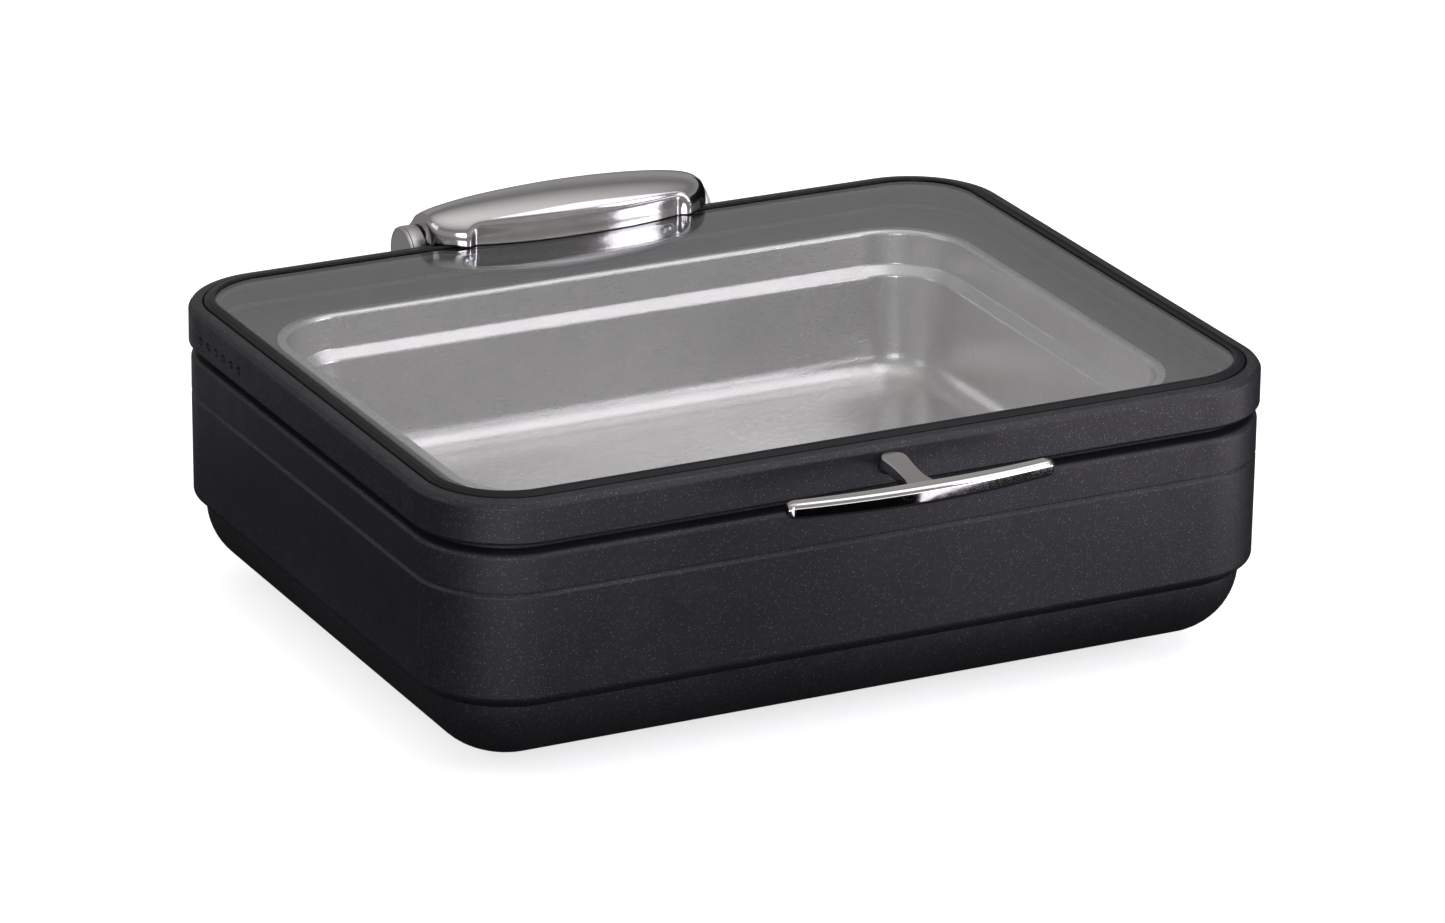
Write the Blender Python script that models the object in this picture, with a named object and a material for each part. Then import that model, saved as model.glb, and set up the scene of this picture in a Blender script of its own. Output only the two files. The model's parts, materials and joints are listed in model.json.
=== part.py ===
"""Electric buffet server: a powder-coated housing with a water pan, a food pan and a hinged glass lid.

Lengths below are millimetres and become metres when a mesh is made. Points are given from the centre
of the housing in X and Y and from the floor in Z; the front, with the handle, faces -Y. The parent
empty then moves everything so that the whole object is centred on the origin.
"""

import math

import bmesh
import bpy
from mathutils import Matrix, Vector

MM = 0.001
GAP = 0.3

# Lid and housing outline
WIDTH = 600.0
DEPTH = 472.0
CORNER = 64.4
CORNER_STEPS = 6

# Heights above the floor
FOOT_HEIGHT = 12.0
SEAM_Z = 58.0
HOUSING_TOP = 163.0
DECK_TOP = 174.0
LID_BOTTOM = 169.6
LEDGE_UNDER = 190.6
LEDGE_TOP = 193.2
RIM_TOP = 198.2
GLASS_TOP = 199.1
GLASS_THICK = 3.6

# Sheet thicknesses
HOUSING_WALL = 2.2
LID_WALL = 2.6
PAN_WALL = 1.2

# Lower tub
TUB_INSET = 10.3
TUB_ROUND = 46.0
TUB_WALL = 2.0

# Pans
FOOD_RIM = (514.0, 372.0, 60.0)
FOOD_RIM_TOP = 178.0
FOOD_DEPTH = 100.0
WATER_RIM = (509.0, 367.0, 57.0)
WATER_WALL = (499.0, 357.0, 52.0)
WATER_FLOOR = 52.0

# Lid hinge
HINGE_Y = 255.6
HINGE_Z = 185.5
BARREL_R = 19.0
BARREL_BORE = 15.5
BARREL_HALF = 99.5
KNUCKLE_IN = 102.0
KNUCKLE_OUT = 111.5
PIN_R = 5.0
PIN_BORE = 5.3
HOOD_HALF = 101.2
HOOD_UNDER = 201.3
HOOD_WRAP_IN = 19.5
HOOD_WRAP_OUT = 21.1

# Handle
HANDLE_Z = 184.5
HANDLE_HALF = 93.5
HANDLE_END_Y = -280.0
HANDLE_BOW = 8.0
HANDLE_DEPTH = 13.0
HANDLE_HEIGHT = 12.0
HANDLE_DROP = 1.3

# Steam vents through both sides of the lid
VENT_COUNT = 6
VENT_FIRST_Y = 101.0
VENT_PITCH = 12.6
VENT_Z = 181.0
VENT_R = 3.0

# Rear controls
PANEL_Y = 235.2
CONTROL_X = -185.0
CONTROL_Z = 104.0
KNOB_X = -204.0
SWITCH_X = -163.0
INLET_X = 185.0
INLET_Z = 100.0
SWITCH_TILT = math.radians(7.0)

# The object's box runs from the handle's front to the hood's back.
FRONT_Y = HANDLE_END_Y - HANDLE_BOW - HANDLE_DEPTH / 2
BACK_Y = HINGE_Y + HOOD_WRAP_OUT
CENTRE_SHIFT = -(FRONT_Y + BACK_Y) / 2

COLOURS = {
    "powder_black": ((0.036, 0.034, 0.038), 0.55, 0.2),
    "polished_steel": ((0.62, 0.60, 0.58), 0.12, 1.0),
    "satin_steel": ((0.50, 0.49, 0.48), 0.30, 1.0),
    "zinc_steel": ((0.55, 0.56, 0.57), 0.38, 1.0),
    "spring_steel": ((0.25, 0.25, 0.26), 0.40, 1.0),
    "aluminium": ((0.70, 0.70, 0.71), 0.40, 1.0),
    "brass": ((0.70, 0.52, 0.25), 0.30, 1.0),
    "rubber": ((0.020, 0.020, 0.021), 0.70, 0.0),
    "gasket": ((0.024, 0.023, 0.026), 0.35, 0.0),
    "black_plastic": ((0.022, 0.022, 0.024), 0.42, 0.0),
    "amber_plastic": ((0.80, 0.30, 0.04), 0.20, 0.0),
    "insulation": ((0.72, 0.70, 0.62), 0.95, 0.0),
    "glass": ((0.80, 0.84, 0.84), 0.03, 0.0),
}


# ---------------------------------------------------------------- helpers


def clear_scene():
    for obj in list(bpy.data.objects):
        bpy.data.objects.remove(obj, do_unlink=True)


def material(kind):
    found = bpy.data.materials.get(kind)
    if found:
        return found
    colour, roughness, metallic = COLOURS[kind]
    made = bpy.data.materials.new(kind)
    made.use_nodes = True
    shader = made.node_tree.nodes["Principled BSDF"]
    shader.inputs["Base Color"].default_value = (*colour, 1.0)
    shader.inputs["Roughness"].default_value = roughness
    shader.inputs["Metallic"].default_value = metallic
    if kind == "glass":
        shader.inputs["Transmission Weight"].default_value = 0.9
    made.diffuse_color = (*colour, 1.0)
    return made


def pivot(name, x, y, z, parent=None):
    """An empty that a group of pieces turns or slides about."""
    empty = bpy.data.objects.new(name, None)
    bpy.context.scene.collection.objects.link(empty)
    empty.location = (x * MM, y * MM, z * MM)
    empty.parent = parent
    return empty


def finish(name, mesh_edit, kind, owner, smooth=True):
    """Makes the object from bmesh data in millimetres, with its origin on its owner's point."""
    bmesh.ops.remove_doubles(mesh_edit, verts=mesh_edit.verts, dist=0.001)
    bmesh.ops.recalc_face_normals(mesh_edit, faces=mesh_edit.faces)
    mesh = bpy.data.meshes.new(name)
    mesh_edit.to_mesh(mesh)
    mesh_edit.free()
    mesh.transform(Matrix.Scale(MM, 4))
    if owner is not server:
        mesh.transform(Matrix.Translation(-owner.location))
    if smooth:
        mesh.shade_smooth()
        mesh.set_sharp_from_angle(angle=math.radians(35))
    obj = bpy.data.objects.new(name, mesh)
    bpy.context.scene.collection.objects.link(obj)
    obj.parent = owner
    mesh.materials.append(material(kind))
    return obj


def rounded_rectangle(width, depth, radius, z, steps=CORNER_STEPS):
    """Points of a rounded rectangle, anticlockwise seen from above."""
    points = []
    for quarter in range(4):
        side_x = (1, -1, -1, 1)[quarter]
        side_y = (1, 1, -1, -1)[quarter]
        centre_x = side_x * (width / 2 - radius)
        centre_y = side_y * (depth / 2 - radius)
        for step in range(steps + 1):
            angle = math.radians(90 * (quarter + step / steps))
            x = centre_x + radius * math.cos(angle)
            y = centre_y + radius * math.sin(angle)
            points.append((x, y, z))
    return points


def inset_ring(inset, z, steps=CORNER_STEPS):
    """The lid's outline moved inwards, at a height."""
    radius = max(CORNER - inset, 4.0)
    return rounded_rectangle(WIDTH - 2 * inset, DEPTH - 2 * inset, radius, z, steps)


def circle(centre, radius, axis, sides):
    """Points of a circle about a point, in the plane across the X, Y or Z axis."""
    first, second = {"X": (1, 2), "Y": (2, 0), "Z": (0, 1)}[axis]
    points = []
    for side in range(sides):
        angle = math.tau * side / sides
        point = list(centre)
        point[first] += radius * math.cos(angle)
        point[second] += radius * math.sin(angle)
        points.append(tuple(point))
    return points


def loft(mesh_edit, rings, closed):
    """Skins rings of points. A closed loft joins the last ring to the first; an open one is capped."""
    rows = [[mesh_edit.verts.new(point) for point in ring] for ring in rings]
    count = len(rows[0])
    pairs = list(zip(rows, rows[1:]))
    if closed:
        pairs.append((rows[-1], rows[0]))
    for low, high in pairs:
        for i in range(count):
            j = (i + 1) % count
            mesh_edit.faces.new((low[i], low[j], high[j], high[i]))
    if not closed:
        mesh_edit.faces.new(rows[0][::-1])
        mesh_edit.faces.new(rows[-1])


def lofted(name, rings, kind, owner, closed=False):
    mesh_edit = bmesh.new()
    loft(mesh_edit, rings, closed)
    return finish(name, mesh_edit, kind, owner)


def outline_ring(name, profile, kind, owner):
    """A ring that follows the lid's outline, from its cross-section as (inset, height) points."""
    rings = [inset_ring(inset, z) for inset, z in profile]
    return lofted(name, rings, kind, owner, closed=True)


def turned(name, profile, centre, axis, kind, owner, sides=24, closed=False):
    """A turned piece from (distance along the axis, radius) points."""
    index = "XYZ".index(axis)
    rings = []
    for along, radius in profile:
        point = list(centre)
        point[index] += along
        rings.append(circle(point, radius, axis, sides))
    return lofted(name, rings, kind, owner, closed)


def block(name, low, high, kind, owner, bevel=0.0):
    """A box between two corners, with its edges rounded."""
    mesh_edit = bmesh.new()
    bmesh.ops.create_cube(mesh_edit, size=1.0)
    size = [b - a for a, b in zip(low, high)]
    middle = [(a + b) / 2 for a, b in zip(low, high)]
    bmesh.ops.scale(mesh_edit, vec=size, verts=mesh_edit.verts)
    bmesh.ops.translate(mesh_edit, vec=middle, verts=mesh_edit.verts)
    if bevel:
        bmesh.ops.bevel(
            mesh_edit, geom=mesh_edit.edges[:], offset=bevel, segments=2, affect="EDGES", profile=0.5
        )
    return finish(name, mesh_edit, kind, owner)


def extruded(name, outline, low, high, kind, owner):
    """A flat plate: an outline in Y and Z, extruded along X from low to high."""
    rings = [[(x, y, z) for y, z in outline] for x in (low, high)]
    return lofted(name, rings, kind, owner)


def as_cutter(obj):
    obj.hide_render = True
    obj.display_type = "WIRE"
    return obj


def boolean(target, other, operation):
    modifier = target.modifiers.new(other.name, "BOOLEAN")
    modifier.operation = operation
    modifier.object = as_cutter(other)
    modifier.solver = "EXACT"


def cut(target, other):
    boolean(target, other, "DIFFERENCE")


def join(target, other):
    boolean(target, other, "UNION")


def round_cutter(name, centre, length, radius, axis, owner, sides=14):
    profile = [(-length / 2, radius), (length / 2, radius)]
    return turned(name, profile, centre, axis, "zinc_steel", owner, sides)


def pan_head_screw(name, centre, axis, direction, head_r, shank_r, length, owner):
    """A screw whose head's seat is at the centre; direction is the way the shank points."""
    head = 0.55 * head_r
    profile = [
        (-direction * head, 0.55 * head_r),
        (-direction * 0.6 * head, 0.9 * head_r),
        (-direction * 0.1, head_r),
        (0.0, head_r),
        (0.0, shank_r),
        (direction * (length - shank_r / 2), shank_r),
        (direction * length, shank_r / 2),
    ]
    return turned(name, profile, centre, axis, "zinc_steel", owner, sides=14)


# ---------------------------------------------------------------- housing


def make_base_tub():
    """The drawn lower tub: a quarter-round side that runs into a flat bottom."""
    centre_inset = TUB_INSET + TUB_ROUND
    outer = []
    inner = []
    for step in range(5):
        angle = math.radians(90 * step / 4)
        for rings, radius in ((outer, TUB_ROUND), (inner, TUB_ROUND - TUB_WALL)):
            inset = centre_inset - radius * math.cos(angle)
            rings.append(inset_ring(inset, SEAM_Z - radius * math.sin(angle)))
    tub = lofted("base_tub", outer[::-1] + inner, "powder_black", server)
    opening = block(
        "bottom_opening", (-120, -80, FOOT_HEIGHT - 5), (120, 80, FOOT_HEIGHT + 5), "zinc_steel", server
    )
    cut(tub, opening)
    return tub


def make_upper_housing():
    """The upper casing: a band with a shadow groove, a chamfer at its foot and an inward top flange."""
    foot = SEAM_Z + GAP
    profile = [
        (TUB_INSET, foot),
        (2.6, foot + 6.0),
        (1.5, 134.8),
        (2.6, 135.6),
        (2.6, 137.0),
        (1.5, 137.8),
        (1.5, 159.6),
        (2.2, 162.0),
        (4.4, HOUSING_TOP),
        (27.0, HOUSING_TOP),
        (27.0, HOUSING_TOP - HOUSING_WALL),
        (5.0, HOUSING_TOP - HOUSING_WALL),
        (5.0, foot + 7.2),
        (TUB_INSET + HOUSING_WALL, foot + 1.4),
        (TUB_INSET + HOUSING_WALL, foot),
    ]
    housing = outline_ring("upper_housing", profile, "powder_black", server)
    window = block(
        "inlet_window",
        (INLET_X - 15, PANEL_Y - 20, INLET_Z - 11),
        (INLET_X + 15, PANEL_Y + 5, INLET_Z + 11),
        "zinc_steel",
        server,
    )
    cut(housing, window)
    cut(housing, round_cutter("shaft_hole", (KNOB_X, PANEL_Y, CONTROL_Z), 20, 4.2, "Y", server))
    slot = block(
        "switch_window",
        (SWITCH_X - 7.0, PANEL_Y - 20, CONTROL_Z - 10.5),
        (SWITCH_X + 7.0, PANEL_Y + 5, CONTROL_Z + 10.5),
        "zinc_steel",
        server,
    )
    cut(housing, slot)
    return housing


def make_bottom():
    """Access plate, its screws and the four feet."""
    under = FOOT_HEIGHT - GAP
    plate = block("bottom_cover", (-135, -95, under - 1.5), (135, 95, under), "zinc_steel", server)
    for side_x in (-1, 1):
        for side_y in (-1, 1):
            corner = ("left" if side_x < 0 else "right") + ("_front" if side_y < 0 else "_rear")
            spot = (127 * side_x, 87 * side_y)
            hole = round_cutter("cover_hole_" + corner, (*spot, under), 12, 2.2, "Z", server, 10)
            cut(plate, hole)
            pan_head_screw(
                "cover_screw_" + corner, (*spot, under - 1.5 - GAP), "Z", 1, 3.6, 1.8, 1.9, server
            )
            foot = [(0.0, 15.0), (1.5, 16.5), (under, 14.5)]
            turned("foot_" + corner, foot, (195 * side_x, 135 * side_y, 0.0), "Z", "rubber", server, 20)


def make_deck_ring():
    """The raised deck inside the lid's skirt, with a beaded edge that hides the gap under the skirt."""
    low = HOUSING_TOP + GAP
    rings = [
        rounded_rectangle(WIDTH - 24, DEPTH - 24, CORNER - 12, low),
        rounded_rectangle(WIDTH - 24, DEPTH - 24, CORNER - 12, DECK_TOP + 2.8),
        rounded_rectangle(WIDTH - 25, DEPTH - 25, CORNER - 12.5, DECK_TOP + 3.4),
        rounded_rectangle(WIDTH - 26.4, DEPTH - 26.4, CORNER - 13.2, DECK_TOP + 3.4),
        rounded_rectangle(WIDTH - 28, DEPTH - 28, CORNER - 14, DECK_TOP),
        rounded_rectangle(504, 362, 54.5, DECK_TOP),
        rounded_rectangle(504, 362, 54.5, DECK_TOP - 2.0),
        rounded_rectangle(WIDTH - 29, DEPTH - 29, CORNER - 14.5, DECK_TOP - 2.0),
        rounded_rectangle(WIDTH - 29, DEPTH - 29, CORNER - 14.5, low),
    ]
    return lofted("deck_ring", rings, "powder_black", server, closed=True)


def make_lid_bumpers():
    """Soft stops on the front of the deck that the closed lid's ledge rests on."""
    low = DECK_TOP + GAP
    height = LEDGE_UNDER - GAP - low
    for side, name in ((-1, "lid_bumper_left"), (1, "lid_bumper_right")):
        profile = [(0.0, 3.5), (height - 1.0, 3.2), (height, 2.2)]
        turned(name, profile, (200 * side, -DEPTH / 2 + 18.0, low), "Z", "rubber", server, 12)


# ---------------------------------------------------------------- pans


def pan_rings(rim, rim_low, wall_steps, thickness):
    """Rings of an open pan: outside from the floor up to the flange, then inside back down.

    wall_steps lists (width, depth, radius, z) of the outer wall from the top to the floor.
    """
    rim_high = rim_low + thickness
    outside = [rounded_rectangle(*step) for step in wall_steps][::-1]
    under_rim = rounded_rectangle(wall_steps[0][0], wall_steps[0][1], wall_steps[0][2], rim_low)
    flange = [rounded_rectangle(*rim, rim_low), rounded_rectangle(*rim, rim_high)]
    inside = []
    for width, depth, radius, z in [(*wall_steps[0][:3], rim_low), *wall_steps]:
        lift = 0.0 if z == rim_low else thickness
        high = rim_high if z == rim_low else z + lift
        inner = (width - 2 * thickness, depth - 2 * thickness, max(radius - thickness, 3.0))
        inside.append(rounded_rectangle(*inner, high))
    return outside + [under_rim] + flange + inside


def make_water_pan():
    width, depth, radius = WATER_WALL
    steps = [
        (width, depth, radius, DECK_TOP - 8.0),
        (width - 8, depth - 8, radius - 4, WATER_FLOOR + 16),
        (width - 14, depth - 14, radius - 6, WATER_FLOOR + 5),
        (width - 30, depth - 30, radius - 10, WATER_FLOOR),
    ]
    rings = pan_rings(WATER_RIM, DECK_TOP + GAP, steps, PAN_WALL)
    return lofted("water_pan", rings, "satin_steel", server)


def make_food_pan():
    """The food pan: rolled rim, a stacking shoulder, drafted walls and rounded floor corners."""
    rim_low = FOOD_RIM_TOP - PAN_WALL
    floor = FOOD_RIM_TOP - FOOD_DEPTH
    steps = [
        (494.0, 352.0, 50.0, rim_low - 4.0),
        (490.0, 348.0, 48.0, rim_low - 24.0),
        (480.0, 338.0, 43.0, rim_low - 29.0),
        (470.0, 328.0, 40.0, floor + 22.0),
        (464.0, 322.0, 38.0, floor + 9.0),
        (446.0, 304.0, 34.0, floor),
    ]
    rings = pan_rings(FOOD_RIM, rim_low, steps, PAN_WALL)
    return lofted("food_pan", rings, "satin_steel", pan_lift)


# ---------------------------------------------------------------- heating


def tube_along(name, points, radius, kind, owner, resolution=2):
    """A round bar along a smooth route of points."""
    curve = bpy.data.curves.new(name, "CURVE")
    curve.dimensions = "3D"
    curve.bevel_depth = radius * MM
    curve.bevel_resolution = resolution
    curve.use_fill_caps = True
    spline = curve.splines.new("POLY")
    spline.points.add(len(points) - 1)
    for target, point in zip(spline.points, points):
        target.co = (point[0] * MM, point[1] * MM, point[2] * MM, 1.0)
    obj = bpy.data.objects.new(name, curve)
    bpy.context.scene.collection.objects.link(obj)
    obj.parent = owner
    curve.materials.append(material(kind))
    return obj


def element_route():
    """A four-run hairpin path with round turns."""
    half_run = 150.0
    pitch = 70.0
    height = WATER_FLOOR - 11.0
    rows = [105.0 - pitch * row for row in range(4)]
    points = [(-half_run, rows[0], height)]
    for index, row in enumerate(rows[:-1]):
        side = 1 if index % 2 == 0 else -1
        for step in range(9):
            angle = math.radians(90 - 180 * step / 8)
            x = side * (half_run + pitch / 2 * math.cos(angle))
            points.append((x, row - pitch / 2 + pitch / 2 * math.sin(angle), height))
    points.append((half_run * -1, rows[-1], height))
    return points


def make_heater():
    tube_along("heating_element", element_route(), 3.6, "spring_steel", server)
    top = WATER_FLOOR - GAP
    spreader = [
        rounded_rectangle(430, 290, 20, z, 3) for z in (top - 3.0, top)
    ]
    lofted("heat_spreader", spreader, "aluminium", server)
    tray_low = WATER_FLOOR - 17.0
    tray = [
        rounded_rectangle(410, 270, 20, tray_low, 3),
        rounded_rectangle(420, 280, 22, tray_low + 9, 3),
        rounded_rectangle(417.6, 277.6, 21, tray_low + 9, 3),
        rounded_rectangle(407.6, 267.6, 19, tray_low + 1.2, 3),
    ]
    lofted("reflector_tray", tray, "zinc_steel", server)
    pad_top = tray_low - GAP
    pad = [rounded_rectangle(400, 260, 18, z, 3) for z in (pad_top - 15.0, pad_top)]
    lofted("insulation_pad", pad, "insulation", server)


# ---------------------------------------------------------------- rear controls


def make_controls():
    """Control plate, thermostat with its shaft and knob, rocker switch and pilot lamp."""
    face = PANEL_Y + 2.0
    plate = block(
        "control_plate",
        (CONTROL_X - 42, PANEL_Y, CONTROL_Z - 26),
        (CONTROL_X + 42, face, CONTROL_Z + 26),
        "satin_steel",
        server,
        0.6,
    )
    cut(plate, round_cutter("plate_shaft_hole", (KNOB_X, PANEL_Y, CONTROL_Z), 20, 4.2, "Y", server))
    window = block(
        "plate_switch_window",
        (SWITCH_X - 7.0, PANEL_Y - 5, CONTROL_Z - 10.5),
        (SWITCH_X + 7.0, PANEL_Y + 8, CONTROL_Z + 10.5),
        "zinc_steel",
        server,
    )
    cut(plate, window)
    lens_spot = (CONTROL_X + 2.0, face + GAP, CONTROL_Z)
    lens = [(0.0, 3.6), (1.2, 3.4), (2.3, 2.2), (2.7, 0.9)]
    turned("indicator_lens", lens, lens_spot, "Y", "amber_plastic", server, 14)
    for side, name in ((-1, "control_screw_left"), (1, "control_screw_right")):
        spot = (CONTROL_X + 37 * side, face + GAP, CONTROL_Z + 20)
        head = [(0.0, 3.0), (0.9, 2.8), (1.6, 1.6)]
        turned(name, head, spot, "Y", "zinc_steel", server, 14)

    block(
        "thermostat_body",
        (KNOB_X - 18, PANEL_Y - 40, CONTROL_Z - 16),
        (KNOB_X + 18, PANEL_Y - 6, CONTROL_Z + 16),
        "black_plastic",
        server,
        1.0,
    )
    shaft = [(-5.7, 3.0), (face - PANEL_Y + 9.0, 3.0)]
    turned("thermostat_shaft", shaft, (KNOB_X, PANEL_Y, CONTROL_Z), "Y", "brass", knob_axis, 12)
    knob = [
        (0.0, 14.5),
        (2.0, 15.5),
        (4.0, 12.6),
        (14.0, 11.6),
        (15.0, 10.4),
        (15.0, 2.0),
        (11.6, 2.0),
        (11.6, 3.3),
        (0.0, 3.3),
    ]
    seat = (KNOB_X, face + GAP, CONTROL_Z)
    dial = turned("thermostat_knob", knob, seat, "Y", "black_plastic", knob_axis, 18, closed=True)
    pointer = block(
        "knob_pointer",
        (KNOB_X - 1.0, face + 1.8, CONTROL_Z + 8.5),
        (KNOB_X + 1.0, face + 14.9, CONTROL_Z + 13.6),
        "black_plastic",
        knob_axis,
    )
    join(dial, pointer)


def make_switch():
    """Rocker switch: a framed body through the plate and a rocker tilted to its off position."""
    face = PANEL_Y + 2.0
    frame = block(
        "switch_bezel",
        (SWITCH_X - 9.5, face + GAP, CONTROL_Z - 13),
        (SWITCH_X + 9.5, face + 2.2, CONTROL_Z + 13),
        "black_plastic",
        server,
        0.5,
    )
    body = block(
        "switch_case",
        (SWITCH_X - 6.7, PANEL_Y - 16, CONTROL_Z - 10.2),
        (SWITCH_X + 6.7, face + 1.0, CONTROL_Z + 10.2),
        "black_plastic",
        server,
    )
    join(frame, body)
    well = block(
        "switch_well",
        (SWITCH_X - 5.4, PANEL_Y - 10, CONTROL_Z - 9.0),
        (SWITCH_X + 5.4, face + 8, CONTROL_Z + 9.0),
        "black_plastic",
        server,
    )
    cut(frame, well)
    outline = [
        (face - 3.2, -7.6),
        (face + 3.6, -7.9),
        (face + 2.4, 0.0),
        (face + 3.6, 7.9),
        (face - 3.2, 7.6),
        (face - 4.6, 0.0),
    ]
    tilt = Matrix.Rotation(-SWITCH_TILT, 3, "X")
    tilted = []
    for y, height in outline:
        point = tilt @ Vector((0.0, y - face, height))
        tilted.append((face + point.y, CONTROL_Z + point.z))
    extruded("switch_rocker", tilted, SWITCH_X - 5.1, SWITCH_X + 5.1, "black_plastic", rocker_axis)


def make_inlet():
    """A three-pin appliance inlet with a plug socket that opens to the rear."""
    face = PANEL_Y + 3.0
    inlet = block(
        "power_inlet",
        (INLET_X - 25, PANEL_Y, INLET_Z - 15),
        (INLET_X + 25, face, INLET_Z + 15),
        "black_plastic",
        server,
        0.8,
    )
    case = block(
        "inlet_case",
        (INLET_X - 14.6, PANEL_Y - 24, INLET_Z - 10.6),
        (INLET_X + 14.6, PANEL_Y + 1, INLET_Z + 10.6),
        "black_plastic",
        server,
    )
    join(inlet, case)
    socket = block(
        "inlet_socket",
        (INLET_X - 12.3, PANEL_Y - 15, INLET_Z - 9.4),
        (INLET_X + 12.3, PANEL_Y + 8, INLET_Z + 8.3),
        "black_plastic",
        server,
    )
    cut(inlet, socket)
    for name, x, z in (("live", -7.0, -2.0), ("neutral", 7.0, -2.0), ("earth", 0.0, 2.0)):
        block(
            "inlet_pin_" + name,
            (INLET_X + x - 1.0, PANEL_Y - 14.7, INLET_Z + z - 2.2),
            (INLET_X + x + 1.0, PANEL_Y - 1.0, INLET_Z + z + 2.2),
            "zinc_steel",
            server,
            0.4,
        )


# ---------------------------------------------------------------- hinge


def make_hinge_bracket():
    """A plate on the rear wall with an ear at each end that carries the pin."""
    plate_back = PANEL_Y + 3.0
    bracket = block(
        "hinge_bracket", (-KNUCKLE_OUT, PANEL_Y, 112), (KNUCKLE_OUT, plate_back, 158), "satin_steel", server
    )
    for side, name in ((-1, "left"), (1, "right")):
        ear = []
        for step in range(15):
            angle = math.radians(200 - 220 * step / 14)
            y = HINGE_Y + BARREL_R * math.cos(angle)
            z = HINGE_Z + BARREL_R * math.sin(angle)
            ear.append((y, z))
        ear += [(HINGE_Y + 12.0, HINGE_Z - 22.0), (plate_back - 1.0, 118.0), (PANEL_Y + 0.6, 118.0)]
        ear += [(PANEL_Y + 0.6, 156.0), (PANEL_Y + 2.4, 170.0)]
        low, high = sorted((side * KNUCKLE_IN, side * KNUCKLE_OUT))
        join(bracket, extruded("bracket_ear_" + name, ear, low, high, "satin_steel", server))
    bore = round_cutter(
        "bracket_bore", (0, HINGE_Y, HINGE_Z), 2 * KNUCKLE_OUT + 10, PIN_BORE, "X", server, 24
    )
    cut(bracket, bore)
    for side_x, column in ((-1, "left"), (1, "right")):
        for z, row in ((122.0, "lower"), (148.0, "upper")):
            spot = (80 * side_x, plate_back + GAP, z)
            head = [(0.0, 4.6), (1.4, 4.3), (2.6, 2.4)]
            turned(f"bracket_screw_{column}_{row}", head, spot, "Y", "zinc_steel", server, 14)


def make_hinge_pin():
    half = KNUCKLE_OUT - 0.5
    profile = [(-half, PIN_R - 0.6), (1.0 - half, PIN_R), (half - 1.0, PIN_R), (half, PIN_R - 0.6)]
    turned("hinge_pin", profile, (0, HINGE_Y, HINGE_Z), "X", "zinc_steel", server, 24)
    for side, name in ((-1, "hinge_end_cap_left"), (1, "hinge_end_cap_right")):
        start = side * (KNUCKLE_OUT + GAP)
        cap = [(0.0, BARREL_R - 0.4), (1.3 * side, BARREL_R - 0.4), (2.0 * side, BARREL_R - 1.4)]
        turned(name, cap, (start, HINGE_Y, HINGE_Z), "X", "satin_steel", server, 32)


def make_hinge_barrel():
    """The tube that turns with the lid, its two bushes, the spring and the damper inside it."""
    tube = [
        (-BARREL_HALF, BARREL_R),
        (BARREL_HALF, BARREL_R),
        (BARREL_HALF, BARREL_BORE),
        (-BARREL_HALF, BARREL_BORE),
    ]
    middle = (0, HINGE_Y, HINGE_Z)
    barrel = turned("hinge_barrel", tube, middle, "X", "polished_steel", lid_axis, 36, closed=True)
    for side, name in ((-1, "left"), (1, "right")):
        hole = round_cutter(
            "barrel_screw_hole_" + name, (75.0 * side, HINGE_Y - 17, HINGE_Z - 5.5), 14, 2.9, "Y", lid_axis
        )
        cut(barrel, hole)
        start = side * 84.0
        bush = [
            (0.0, BARREL_BORE - GAP),
            (14.0 * side, BARREL_BORE - GAP),
            (14.0 * side, PIN_BORE),
            (0.0, PIN_BORE),
        ]
        centre = (start, HINGE_Y, HINGE_Z)
        turned("hinge_bush_" + name, bush, centre, "X", "brass", lid_axis, 24, closed=True)
    damper = [(10.0, 11.5), (11.0, 12.5), (61.0, 12.5), (62.0, 11.5), (62.0, PIN_BORE), (10.0, PIN_BORE)]
    turned("lid_damper", damper, (0, HINGE_Y, HINGE_Z), "X", "black_plastic", server, 20, closed=True)
    coil = []
    turns = 6
    for step in range(turns * 10 + 1):
        angle = math.tau * step / 10
        x = -66.0 + 10.0 * step / 10
        y = HINGE_Y + 9.4 * math.cos(angle)
        z = HINGE_Z + 9.4 * math.sin(angle)
        coil.append((x, y, z))
    tube_along("counterbalance_spring", coil, 1.5, "spring_steel", server, 1)


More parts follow.
